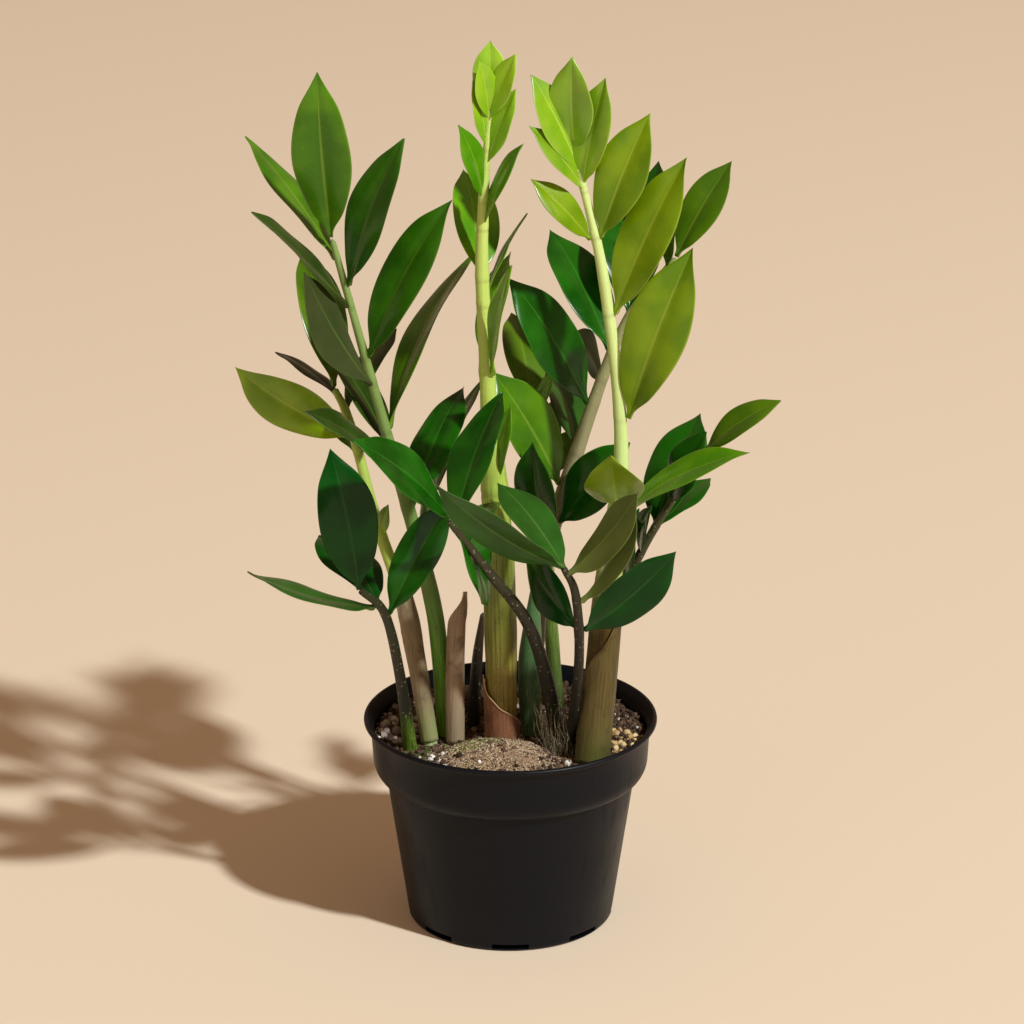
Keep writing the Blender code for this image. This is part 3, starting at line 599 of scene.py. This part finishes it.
def wrap_tube(rings, sides, place):
    """A closed tube: place(angle, t) gives each point; its two ends shrink to a point and are merged."""
    bm, where, marks = stem_grid(sides, rings)
    for v in bm.verts:
        angle = math.pi * (v.co.x + 1.0)
        t = (v.co.y + 1.0) * 0.5
        co, along, scar = place(angle, t)
        v[where] = (math.cos(angle), math.sin(angle), along * 10.0)
        v[marks] = (along, scar, 0.0)
        v.co = co
    return closed(bm)


def smoothstep(low, high, x):
    t = min(max((x - low) / (high - low), 0.0), 1.0)
    return t * t * (3.0 - 2.0 * t)


# ---- leaflets ----

class Blade:
    """Where a leaflet lies: its base, tip, side and upper normal, and its width and arch."""

    def __init__(self, base, tip, normal, width, arch):
        self.base = base
        self.axis = (tip - base).normalized()
        self.length = (tip - base).length
        self.normal = (normal - self.axis * normal.dot(self.axis)).normalized()
        self.side = self.normal.cross(self.axis)
        self.width = width
        self.arch = arch


def read_blade(node, points):
    """The blade of a separate leaflet, read from its CAD body; its base is the end nearer its stem."""
    end_zone = 0.0012
    co = np.array([v.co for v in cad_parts[node].data.vertices])
    co = np.unique(np.round(co, 6), axis=0)
    middle = co.mean(0)
    axes = np.linalg.svd(co - middle)[2]
    reach, across, height = ((co - middle) @ axis for axis in axes)
    low = co[reach < reach.min() + end_zone].mean(0)
    high = co[reach > reach.max() - end_zone].mean(0)
    path = stem_places(points, 60)
    near = [min((Vector(end) - p).length for p in path) for end in (low, high)]
    base, tip = (low, high) if near[0] < near[1] else (high, low)
    width = np.ptp(across)
    central = abs(reach) < 0.16 * np.ptp(reach)
    rib = height[central & (abs(across) < 0.1 * width)].mean()
    margin = height[central & (abs(across) > 0.35 * width)].mean()
    chord = 0.5 * ((base - middle) @ axes[2] + (tip - middle) @ axes[2])
    sign = 1.0 if margin > rib else -1.0
    return Blade(Vector(base), Vector(tip), Vector(axes[2] * sign), float(width), float((rib - chord) * sign))


def small_blade(points, row):
    """The blade of a leaflet that is one solid with its stem."""
    station, heading, rise, length, width, roll, arch, _ = row
    h, r, q = math.radians(heading), math.radians(rise), math.radians(roll)
    axis = Vector((math.cos(r) * math.cos(h), math.cos(r) * math.sin(h), math.sin(r)))
    side = Vector((-math.sin(h), math.cos(h), 0.0))
    normal = Vector((-math.sin(r) * math.cos(h), -math.sin(r) * math.sin(h), math.cos(r)))
    normal = normal * math.cos(q) + side * math.sin(q)
    centre, radius = stem_point(points, station)
    base = centre + axis * radius * 0.6
    return Blade(base, base + axis * length * MM, normal, width * MM, arch * MM)


def half_width(u):
    """Half width of a leaflet at u along it, as a share of its full width: a pointed oval."""
    if not 0.0 < u < 1.0:
        return 0.0
    oval = math.sin(math.pi * u ** 1.06) ** 0.80
    tip = 1.0 - 0.42 * smoothstep(0.80, 1.0, u)
    foot = 0.35 + 0.65 * smoothstep(0.0, 0.16, u)
    return 0.5 * oval * tip * foot


def build_leaflet(name, blade, finish, rng, nodes):
    """A leaflet: a grid bent to its blade, with an upper and a lower sheet."""
    looks = bpy.context.scene.zz_leaf
    bm = unit_grid(10, 22)
    where = bm.verts.layers.float_vector.new("leaf_place")
    tone = bm.verts.layers.float.new("leaf_tone")
    for v in bm.verts:
        u = (v.co.y + 1.0) * 0.5
        v[where] = (math.copysign(abs(v.co.x) ** 0.85, v.co.x), u ** 1.1, 0.0)
    bmesh.ops.solidify(bm, geom=bm.faces[:], thickness=0.1)
    value = rng.uniform(0.90, 1.10)
    phase = rng.uniform(0.0, math.tau)
    waves = rng.uniform(1.3, 2.2)
    twist = math.radians(rng.uniform(-7.0, 7.0))
    droop = rng.uniform(-0.01, 0.035) * blade.length
    fold = math.radians(rng.uniform(11.0, 17.0))
    curl = rng.uniform(0.05, 0.22)
    petiole = 0.0011 if blade.width > 0.02 else 0.0007  # least half width near the base
    tuck = 0.0015  # how far the base reaches into the stem
    groove_width = 0.0012
    for v in bm.verts:
        a, u, _ = v[where]
        sheet = 1.0 if abs(v.co.z) < 0.05 else -1.0
        half = max(half_width(u) * blade.width, petiole * (1.0 - smoothstep(0.1, 0.5, u)))
        turn = twist * (u - 0.3)
        side = blade.side * math.cos(turn) + blade.normal * math.sin(turn)
        normal = blade.normal * math.cos(turn) - blade.side * math.sin(turn)
        ripple = looks.wave * blade.width * math.sin(math.tau * waves * u + phase + (1.6 if a > 0 else 0.0))
        lift = half * (abs(a) * math.sin(fold) - curl * a * a) + ripple * a * a * smoothstep(0.0, 0.2, u)
        lift += blade.arch * 4.0 * u * (1.0 - u) - droop * u ** 3
        groove = looks.rib * math.exp(-(a * half / groove_width) ** 2) * (1.0 - 0.7 * u)
        thick = looks.edge + (looks.thickness - looks.edge) * (1.0 - a * a)
        stalk = 0.0012 * (1.0 - smoothstep(0.0, 0.09, u))
        offset = 0.5 * thick + stalk if sheet > 0 else -0.5 * thick - stalk - groove * 1.2
        if sheet > 0:
            offset -= groove
        if u >= 1.0:
            offset *= 0.3
        along = u * (blade.length + tuck) - tuck
        v.co = blade.base + blade.axis * along + side * (a * half) + normal * (lift + offset)
        v[where] = (a, u, sheet)
        v[tone] = value
    faces_out(bm)
    material = bpy.data.materials[f"{finish}_leaf_skin"]
    add_piece(name, bm, material, nodes, 180.0, 1)


# ---- stems ----

def joints_of(stem):
    """Stations along a stem where leaflets join it."""
    points = STEMS[stem]
    found = [row[0] for row in SMALL_LEAFLETS.get(stem, [])]
    if not stem.startswith("stem_"):
        return found
    path = stem_places(points, 200)
    for node in sorted(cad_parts):
        if node.startswith("leaf_" + stem[-1]):
            base = read_blade(node, points).base
            found.append(min(range(201), key=lambda k: (path[k] - base).length) / 200)
    return found


def build_stem(name, rng):
    looks = bpy.context.scene.zz_stem
    points = STEMS[name]
    length = stem_length(points)
    joints = joints_of(name)
    rings = int(length / looks.ring_step)
    foot_depth = 0.010
    shift = rng.uniform(0.0, 50.0)
    total = length + foot_depth

    def place(angle, t):
        s = t * total - foot_depth
        station = min(max(s / length, 0.0), 1.0)
        centre, radius = stem_point(points, station)
        direction = stem_direction(points, station)
        if s < 0.0:
            centre = centre + direction * s
        swell, scar = 0.0, 0.0
        for joint in joints:
            gap = (station - joint) * length
            swell += looks.swelling * math.exp(-(gap / 0.0034) ** 2)
            scar = max(scar, math.exp(-((gap + 0.0016) / 0.0007) ** 2))
        spoke = spoke_at(direction, angle)
        uneven = noise.noise(centre * 60.0 + spoke * 0.8 + Vector((shift, 0.0, 0.0)))
        size = radius * (1.0 + min(swell, 0.2) - 0.05 * scar + 0.05 * uneven)
        end = smoothstep(0.0, 1.0, (1.0 - t) * total / (1.2 * radius))
        size *= math.sqrt(end) * (0.0 if t == 0.0 else 1.0)
        return centre + spoke * size, station, scar

    bm = wrap_tube(rings, 24, place)
    add_piece("skin_of_" + name, bm, stem_material(name), (name,), 180.0)


def build_sheath(name, points, reach, arcs, slant, material, rng, nodes, spare):
    """A papery scale over an arc of a stem.

    Its arc goes from arcs[:2] at the foot to arcs[2:] between the two shares of its height in slant.
    """
    bm, where, marks = stem_grid(36, 48)
    shift = Vector((rng.uniform(0.0, 40.0), 0.0, 0.0))
    for v in bm.verts:
        s, t = (v.co.x + 1.0) * 0.5, (v.co.y + 1.0) * 0.5
        station = reach[0] + (reach[1] - reach[0]) * t
        centre, radius = stem_point(points, station)
        direction = stem_direction(points, station)
        k = smoothstep(slant[0], slant[1], t)
        start = arcs[0] + (arcs[2] - arcs[0]) * k
        end = arcs[1] + (arcs[3] - arcs[1]) * k
        ragged = 5.0 * noise.noise(Vector((0.0, t * 9.0, 0.0)) + shift)
        angle = math.radians(start + (end - start) * s + ragged * (2.0 * s - 1.0))
        edge = abs(2.0 * s - 1.0)
        rim = max(smoothstep(0.93, 1.0, edge), smoothstep(0.96, 1.0, t))
        flare = 0.0008 * smoothstep(0.75, 1.0, edge) * t
        ridge = 0.00025 * noise.noise(Vector((math.cos(angle) * 6.0, math.sin(angle) * 6.0, t * 3.0)) + shift)
        v[where] = (math.cos(angle), math.sin(angle), 3.0 * t)
        v[marks] = (t, rim, 0.0)
        v.co = centre + spoke_at(direction, angle) * (radius + spare + flare + ridge)
    solid_sheet(bm, 0.0005)
    add_piece(name, bm, material, nodes, 180.0)


# ---- pot and earth ----

def spun(profile, steps):
    """A closed body turned about Z from a profile that starts and ends on the axis."""
    bm = bmesh.new()
    verts = [bm.verts.new((r, 0.0, z)) for r, z in profile]
    edges = [bm.edges.new(pair) for pair in zip(verts, verts[1:])]
    bmesh.ops.spin(bm, geom=verts + edges, cent=(0, 0, 0), axis=(0, 0, 1), angle=math.tau, steps=steps,
                   use_merge=True)
    return closed(bm)


def arc(centre_r, centre_z, radius, start, end, steps):
    """Points along an arc of a profile, angles in degrees."""
    out = []
    for k in range(steps + 1):
        angle = math.radians(start + (end - start) * k / steps)
        out.append((centre_r + radius * math.cos(angle), centre_z + radius * math.sin(angle)))
    return out


POT_WALL = 0.0014
LIP_WIDTH = 0.0034
LIP_ROUNDING = 0.0014
COLLAR = LIP_RADIUS - LIP_WIDTH
COLLAR_TAPER = 0.0012
STEP_WIDTH = 0.0066
STEP_DROP = 0.0095
SHOULDER = COLLAR - COLLAR_TAPER - STEP_WIDTH
STEP_TOP = POT_TOP - 0.0215
STEP_LOW = STEP_TOP - STEP_DROP
FOOT = 0.053
FOOT_ROUNDING = 0.0028
WALL_FOOT = 0.004  # height at which the straight wall starts
FLOOR_TOP = 0.0048
DRAIN_STEP = math.tau / 8
DRAIN_HALF_WIDTH = 0.0085
DRAIN_DEPTH = 0.006


def step_curve(inset, marks):
    """Points on the rounded step below the collar, one each 10 degrees."""
    out = []
    for k in marks:
        angle = math.radians(90 - 10 * k)
        out.append((SHOULDER - inset + STEP_WIDTH * math.cos(angle), STEP_TOP - STEP_DROP * math.sin(angle)))
    return out


def pot_profile():
    """The pot's profile, from its axis out along the foot, up to the lip and back down inside."""
    outer = arc(FOOT - FOOT_ROUNDING, FOOT_ROUNDING, FOOT_ROUNDING, -90, 0, 5)
    for k in range(17):
        outer.append((FOOT + (SHOULDER - FOOT) * k / 16, WALL_FOOT + (STEP_LOW - WALL_FOOT) * k / 16))
    outer += step_curve(0.0, range(1, 10))
    outer += [(COLLAR - 0.0006, POT_TOP - 0.012), (COLLAR, POT_TOP - 0.0050)]
    outer += [(COLLAR + 0.0004, POT_TOP - 0.0038)]
    outer += arc(LIP_RADIUS - LIP_ROUNDING, POT_TOP - 0.0016, LIP_ROUNDING, -60, 90, 8)
    inner_lip = LIP_RADIUS - LIP_WIDTH + 0.0010
    inner = [(inner_lip + 0.0004, POT_TOP - 0.0003), (inner_lip, POT_TOP - 0.0012)]
    inner += [(COLLAR - POT_WALL, POT_TOP - 0.004), (COLLAR - COLLAR_TAPER - POT_WALL, STEP_TOP)]
    inner += step_curve(POT_WALL, range(7, -1, -1))
    inner += [(FOOT - 0.0018, 0.0065), (FOOT - 0.0045, FLOOR_TOP)]
    return [(0.0, 0.0)] + outer + inner + [(0.0, FLOOR_TOP)]


def build_pot():
    """The pot, spun from its profile, with slots pressed in round its foot."""
    looks = bpy.context.scene.zz_pot
    bm = spun(pot_profile(), looks.roundness)
    notch_half = math.asin(DRAIN_HALF_WIDTH / FOOT)
    marked = []
    for face in bm.faces:
        centre = face.calc_center_median()
        if not (0.0009 < centre.z < WALL_FOOT and math.hypot(centre.x, centre.y) > FOOT - 0.004):
            continue
        turn = math.atan2(centre.y, centre.x) % DRAIN_STEP
        if min(turn, DRAIN_STEP - turn) < notch_half and face.normal.xy.length > 0.2:
            marked.append(face)
    made = bmesh.ops.extrude_face_region(bm, geom=marked)["geom"]
    bmesh.ops.delete(bm, geom=[f for f in marked if f.is_valid], context="FACES_ONLY")
    for v in (g for g in made if isinstance(g, bmesh.types.BMVert)):
        v.co.xy *= (FOOT - DRAIN_DEPTH) / FOOT
    faces_out(bm)
    add_piece("pot_shell", bm, plastic_material(), ("pot",), 40.0)


def mound_rise(x, y):
    """How high the root mound stands above the soil at a place."""
    away = math.hypot((x - MOUND_CENTRE.x) / MOUND_REACH.x, (y - MOUND_CENTRE.y) / MOUND_REACH.y)
    return MOUND_RISE * max(1.0 - away ** MOUND_FLATNESS, 0.0)


def ground(x, y):
    """The soil's surface at a place, without the mound."""
    looks = bpy.context.scene.zz_soil
    p = Vector((x, y, 0.0))
    lumps = noise.fractal(p * 90.0, 0.9, 2.1, 4)
    broad = noise.noise(p * 28.0 + Vector((7.0, 3.0, 0.0)))
    return SOIL_TOP + looks.roughness * (0.5 * lumps + 0.8 * broad) - 0.0010


def moss_at(x, y):
    """Moss grows by the feet of the left and centre stems."""
    cushions = ((-0.015, -0.033, 0.014), (-0.045, -0.028, 0.010), (0.008, -0.026, 0.007),
                (0.040, -0.050, 0.009))
    return max(math.exp(-(((x - cx) ** 2 + (y - cy) ** 2) / reach ** 2)) for cx, cy, reach in cushions)


def build_soil():
    """The soil's plug: a smooth side inside the pot and an uneven top."""
    edge = SOIL_RADIUS - 0.0003
    floor = 0.0052
    rings = 64
    radii = [edge * (k / rings) ** 0.8 for k in range(1, rings + 1)]
    profile = [(0.0, floor), (FOOT - 0.0052, floor), (FOOT - 0.0022, 0.009), (SHOULDER - 0.0019, STEP_LOW),
               (edge - 0.001, STEP_TOP + 0.001)]
    profile += [(r, SOIL_TOP) for r in reversed(radii)] + [(0.0, SOIL_TOP)]
    bm = spun(profile, 200)
    moss = bm.verts.layers.float.new("moss")
    for v in bm.verts:
        if v.co.z > SOIL_TOP - 0.0001:
            fade = smoothstep(edge, edge - 0.003, math.hypot(v.co.x, v.co.y))
            v[moss] = moss_at(v.co.x, v.co.y)
            v.co.z = ground(v.co.x, v.co.y) - 0.0015 * (1.0 - fade)
    material = earth_material("damp_soil", "#4b382a", "#2c2018", "#6a5240", "#54662c")
    add_piece("soil_plug", bm, material, ("soil",), 180.0)


def build_mound():
    """The root mound's top: a square grid drawn in to a ragged oval and raised."""
    bm = unit_grid(110, 110)
    moss = bm.verts.layers.float.new("moss")
    for v in bm.verts:
        a, b = v.co.x, v.co.y
        disc_x = a * math.sqrt(1.0 - 0.5 * b * b)
        disc_y = b * math.sqrt(1.0 - 0.5 * a * a)
        away = min(math.hypot(disc_x, disc_y), 1.0)
        ragged = 0.96 + 0.04 * noise.noise(Vector((disc_x, disc_y, 0.0)) * 3.0)
        x = MOUND_CENTRE.x + disc_x * MOUND_REACH.x * ragged
        y = MOUND_CENTRE.y + disc_y * MOUND_REACH.y * ragged
        p = Vector((x, y, 0.0))
        tufts = noise.fractal(p * 260.0, 0.8, 2.0, 4)
        height = MOUND_RISE * (1.0 - away ** MOUND_FLATNESS) + 0.0009 * tufts + 0.0012 * noise.noise(p * 90.0)
        v[moss] = moss_at(x, y)
        v.co = (x, y, SOIL_TOP - 0.0022 + max(height, 0.0) + 0.002 * (1.0 - smoothstep(0.9, 1.0, away)))
    solid_sheet(bm, 0.001)
    material = earth_material("fibrous_mound", "#967a62", "#4c3a2c", "#c8b096", "#56662c")
    add_piece("root_mound_top", bm, material, ("root_mound",), 180.0)


def surface(x, y):
    """The height on which loose grains and roots lie."""
    rise = mound_rise(x, y)
    return max(ground(x, y), SOIL_TOP + rise + (0.0 if rise else -0.01))


def clear_of_stems(x, y, size):
    for points in STEMS.values():
        px, py, _, radius = points[0]
        if math.hypot(x - px * MM, y - py * MM) < radius * MM + size:
            return False
    return True


class Heap:
    """Gathers many small shapes: each batch is built in its own small bmesh, which is quick."""
    BATCH = 40

    def __init__(self):
        self.full = bmesh.new()
        self.full.verts.layers.float.new("grain_tone")
        self.batch = None
        self.held = 0

    def next(self):
        """The bmesh to build the next shape in, and its tone layer."""
        if self.batch is None:
            self.batch = bmesh.new()
            self.batch.verts.layers.float.new("grain_tone")
        self.held += 1
        if self.held % self.BATCH == 0:
            self.empty()
            return self.next()
        return self.batch, self.batch.verts.layers.float["grain_tone"]

    def empty(self):
        if self.batch:
            mesh = bpy.data.meshes.new("batch")
            closed(self.batch, 1e-7).to_mesh(mesh)
            self.batch.free()
            self.full.from_mesh(mesh)
            bpy.data.meshes.remove(mesh)
            self.batch = None

    def whole(self):
        self.empty()
        return self.full


def scatter(name, count, pick_place, sizes, material, slot, rng, subdivisions=1, stretch=0.35):
    """Many small uneven grains lying on the soil, as one piece."""
    heap = Heap()
    made = 0
    while made < count:
        x, y = pick_place(rng)
        size = sizes[0] + (sizes[1] - sizes[0]) * rng.random() ** 2.2
        if math.hypot(x, y) > SOIL_RADIUS - size or not clear_of_stems(x, y, size):
            continue
        if slot == "soil" and mound_rise(x, y) > 0.3 * MOUND_RISE and rng.random() < 0.85:
            continue  # few of the soil's own grains lie on the mound
        made += 1
        bm, tone = heap.next()
        verts = bmesh.ops.create_icosphere(bm, subdivisions=subdivisions, radius=1.0)["verts"]
        squash = Vector([rng.uniform(1.0 - stretch, 1.0 + stretch) for _ in range(3)])
        turn = Vector((rng.uniform(-1, 1), rng.uniform(-1, 1), rng.uniform(-1, 1))).to_track_quat("Z", "Y")
        centre = Vector((x, y, surface(x, y) + size * 0.30))
        shade = rng.random()
        for v in verts:
            lump = 1.0 + 0.35 * noise.noise(v.co * 1.7 + centre * 900.0)
            v.co = centre + turn @ (v.co * squash) * size * lump
            v[tone] = shade
    add_piece(name, heap.whole(), material, (), 50.0)


def over_disc(centre, reach):
    """A picker of random places on a disc."""
    def pick(rng):
        angle = rng.uniform(0.0, math.tau)
        r = reach * math.sqrt(rng.random())
        return centre[0] + r * math.cos(angle), centre[1] + r * math.sin(angle)
    return pick


def strand(heap, shade, path, radius):
    """Add one root fibre: a thin closed tube with four sides through the given places."""
    bm, tone = heap.next()
    rings = len(path) - 1
    grid = bmesh.ops.create_grid(bm, x_segments=4, y_segments=rings, size=1.0)["verts"]
    for v in grid:
        angle = math.pi * (v.co.x + 1.0)
        k = round((v.co.y + 1.0) * 0.5 * rings)
        ahead, behind = path[min(k + 1, rings)], path[max(k - 1, 0)]
        direction = (ahead - behind).normalized()
        x_axis = (UP if abs(direction.z) < 0.95 else X_AXIS).cross(direction).normalized()
        y_axis = direction.cross(x_axis)
        size = radius * (0.0 if k in (0, rings) else 1.0)
        v.co = path[k] + (x_axis * math.cos(angle) + y_axis * math.sin(angle)) * size
        v[tone] = shade


def build_fibres(rng):
    """Fine roots over the mound, and up the feet of the dark stems."""
    step = 0.0017
    heap = Heap()
    pick = over_disc(MOUND_CENTRE.xy, MOUND_REACH.x * 0.92)
    for _ in range(230):
        x, y = pick(rng)
        heading = rng.uniform(0.0, math.tau)
        path = []
        for _ in range(rng.randint(7, 11)):
            path.append(Vector((x, y, surface(x, y) + rng.uniform(-0.0003, 0.0007))))
            heading += rng.uniform(-0.7, 0.7)
            if math.hypot(x, y) > SOIL_RADIUS - 0.004:
                heading = math.atan2(-y, -x)
            x += step * math.cos(heading)
            y += step * math.sin(heading)
        strand(heap, rng.random(), path, rng.uniform(0.00009, 0.00020))
    fine = root_material("fine_root_skin", "#8a6f4c", "#cbb48a")
    add_piece("mound_fibres", heap.whole(), fine)
    heap = Heap()
    for _ in range(300):
        x, y = rng.uniform(0.018, 0.038), rng.uniform(-0.038, -0.018)
        drift = rng.uniform(-0.25, 0.25)
        z = surface(x, y) - 0.001
        path = []
        for _ in range(rng.randint(7, 15)):
            path.append(Vector((x, y, z)))
            z += rng.uniform(0.0012, 0.0032)
            drift = 0.7 * drift + rng.uniform(-0.6, 0.6)
            x += 0.0014 * drift
            y += 0.0014 * rng.uniform(-0.9, 1.0)
        strand(heap, rng.random(), path, rng.uniform(0.00006, 0.00011))
    dry = root_material("dry_fibre_skin", "#5c5640", "#a49a7c")
    add_piece("foot_fibres", heap.whole(), dry)


# ---- operators ----

class ZZ_OT_finishes(bpy.types.Operator):
    """Make the shared node groups and the leaf materials"""
    bl_idname = "zz.finishes"
    bl_label = "Finishes"

    def execute(self, context):
        make_patches_group()
        make_specks_group()
        make_fibres_group()
        make_blade_group()
        for name in LEAF_FINISHES:
            leaf_material(name)
        return {"FINISHED"}


class ZZ_OT_pot(bpy.types.Operator):
    """Turn the nursery pot, with its lip, collar and drainage slots"""
    bl_idname = "zz.pot"
    bl_label = "Pot"

    def execute(self, context):
        build_pot()
        return {"FINISHED"}


class ZZ_OT_earth(bpy.types.Operator):
    """Lay the soil, the root mound, their loose grains and fine roots, and finish the hidden rhizome"""
    bl_idname = "zz.earth"
    bl_label = "Soil and roots"

    def execute(self, context):
        looks = context.scene.zz_soil
        rng = random.Random(11)
        build_soil()
        build_mound()
        everywhere = over_disc((0.0, 0.0), 0.069)
        dark = grain_material("soil_crumb", "#2a1f17", "#6b5440", 0.95)
        scatter("soil_crumbs", looks.crumbs, everywhere, (0.0005, 0.0017), dark, "soil", rng)
        fine = (0.0003, 0.0007)
        tan = grain_material("mound_crumb", "#6a5440", "#cfb8a0", 0.95)
        scatter("mound_crumbs", 4600, over_disc((-0.006, -0.040), 0.037), fine, tan, "root_mound", rng)
        green = grain_material("moss_tuft", "#3f5218", "#6f8230", 0.95)
        scatter("moss", 900, over_disc((-0.021, -0.028), 0.016), fine, green, "root_mound", rng)
        chalk = grain_material("perlite_grain", "#c9c4ba", "#f3f0ea", 0.85)
        pebble = grain_material("grey_pebble", "#6f5f58", "#b5a49b", 0.75)
        gold = grain_material("golden_grit", "#a88450", "#e0c792", 0.8)
        rounded_grains = (
            ("perlite_front", looks.perlite // 2, over_disc((-0.04, -0.043), 0.014), (0.0009, 0.0019), chalk,
             0.2),
            ("perlite_all", looks.perlite, everywhere, (0.0006, 0.0016), chalk, 0.2),
            ("pebbles", 60, over_disc((-0.048, 0.010), 0.024), (0.0010, 0.0028), pebble, 0.25),
            ("pebbles_back", 24, over_disc((-0.008, 0.014), 0.022), (0.0010, 0.0030), pebble, 0.25),
            ("grit", 110, over_disc((0.053, -0.020), 0.020), (0.0007, 0.0024), gold, 0.3),
        )
        for name, count, pick_place, sizes, material, stretch in rounded_grains:
            scatter(name, count, pick_place, sizes, material, "soil", rng, 2, stretch)
        build_fibres(rng)
        tuber = earth_material("tuber_skin", "#a98c5c", "#8a6d42", "#c2a878", "#8a6d42")
        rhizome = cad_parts["rhizome"]
        rhizome.data.materials.clear()
        rhizome.data.materials.append(tuber)
        return {"FINISHED"}


class ZZ_OT_stems(bpy.types.Operator):
    """Grow the ten fronds' stems, the bud, the stub and the sheaths"""
    bl_idname = "zz.stems"
    bl_label = "Stems and sheaths"

    def execute(self, context):
        rng = random.Random(5)
        for name in STEMS:
            build_stem(name, rng)
        for name, skin, *shape, nodes, spare in SHEATHS:
            build_sheath(name, *shape, sheath_material(*skin), rng, nodes, spare)
        return {"FINISHED"}


class ZZ_OT_leaflets(bpy.types.Operator):
    """Grow the leaflets: the separate ones from their own bodies, the small ones from their stems"""
    bl_idname = "zz.leaflets"
    bl_label = "Leaflets"

    def execute(self, context):
        rng = random.Random(23)
        for node in sorted(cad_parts):
            if node.startswith("leaf_"):
                tag = node[5:]
                finish = LEAFLET_FINISH.get(tag, FROND_FINISH[tag[0]])
                blade = read_blade(node, STEMS["stem_" + tag[0]])
                build_leaflet("leaflet_" + tag, blade, finish, rng, (node,))
        for stem, rows in SMALL_LEAFLETS.items():
            for k, row in enumerate(rows):
                blade = small_blade(STEMS[stem], row)
                build_leaflet(f"small_leaflet_{stem[-1]}{k + 1}", blade, row[-1], rng, (stem,))
        return {"FINISHED"}


class ZZ_OT_stage(bpy.types.Operator):
    """Set the floor, the lights and the camera"""
    bl_idname = "zz.stage"
    bl_label = "Stage"

    def execute(self, context):
        looks = context.scene.zz_stage
        net = Skin("plain_floor", Roughness=0.85, Specular_IOR_Level=0.15, Base_Color=(*looks.floor, 1.0))
        bm = bmesh.new()
        bmesh.ops.create_grid(bm, x_segments=1, y_segments=1, size=9.0)
        floor = linked("floor", mesh_of("floor", bm, net.material))
        world = bpy.data.worlds.new("studio")
        world.use_nodes = True
        sky = world.node_tree.nodes["Background"].inputs
        sky["Color"].default_value = (1.0, 0.62, 0.37, 1.0)
        sky["Strength"].default_value = looks.sky
        context.scene.world = world
        aim = Vector((0.0, 0.0, 0.2))
        key_distance = 12.0
        key_place = aim + Vector((0.53, -0.49, 0.69)).normalized() * key_distance
        add_light("key", key_place, aim, looks.key, 0.60, (0.97, 1.0, 0.99))
        add_light("fill", aim + Vector((-1.3, -1.9, 0.9)), aim, looks.fill, 1.4, (0.96, 0.97, 1.0))
        context.scene.view_settings.view_transform = "Standard"
        add_camera(context)
        return {"FINISHED"}


def add_light(name, place, aim, power, size, colour):
    light = bpy.data.lights.new(name, "AREA")
    light.energy = power
    light.size = size
    light.color = colour
    lamp = linked(name, light)
    lamp.location = place
    lamp.rotation_euler = (aim - place).to_track_quat("-Z", "Y").to_euler()


def add_camera(context):
    """The camera looks down a little at the middle of the plant."""
    pitch = math.radians(19.81)
    aim = Vector((0.0008, 0.0, 0.2188))
    distance = 2.1603
    camera = bpy.data.cameras.new("camera")
    camera.sensor_width = 36.0  # mm, as is the lens
    camera.lens = 151.07
    camera.clip_end = 50.0
    viewer = linked("camera", camera)
    viewer.location = aim + Vector((0.0, -math.cos(pitch), math.sin(pitch))) * distance
    viewer.rotation_euler = (math.pi / 2 - pitch, 0.0, 0.0)
    context.scene.camera = viewer


class ZZ_PT_panel(bpy.types.Panel):
    """The steps and settings of the plant"""
    bl_idname = "ZZ_PT_panel"
    bl_label = "ZZ plant"
    bl_space_type = "VIEW_3D"
    bl_region_type = "UI"
    bl_category = "ZZ plant"

    def draw(self, context):
        for step in STEPS:
            self.layout.operator(step.bl_idname)
        for key, group in LOOKS.items():
            box = self.layout.box()
            for name in group.__annotations__:
                box.prop(getattr(context.scene, key), name)


STEPS = (ZZ_OT_finishes, ZZ_OT_pot, ZZ_OT_earth, ZZ_OT_stems, ZZ_OT_leaflets, ZZ_OT_stage)
LOOKS = {"zz_pot": PotLooks, "zz_soil": SoilLooks, "zz_leaf": LeafLooks, "zz_stem": StemLooks,
         "zz_stage": StageLooks}


def register():
    for item in (*LOOKS.values(), *STEPS, ZZ_PT_panel):
        bpy.utils.register_class(item)
    for key, group in LOOKS.items():
        setattr(bpy.types.Scene, key, PointerProperty(type=group))


def unregister():
    for key in LOOKS:
        delattr(bpy.types.Scene, key)
    for item in (ZZ_PT_panel, *reversed(STEPS), *reversed(LOOKS.values())):
        bpy.utils.unregister_class(item)


def main():
    register()
    bpy.ops.zz.finishes()
    bpy.ops.zz.pot()
    bpy.ops.zz.earth()
    bpy.ops.zz.stems()
    bpy.ops.zz.leaflets()
    bpy.ops.zz.stage()


if __name__ == "__main__":
    main()
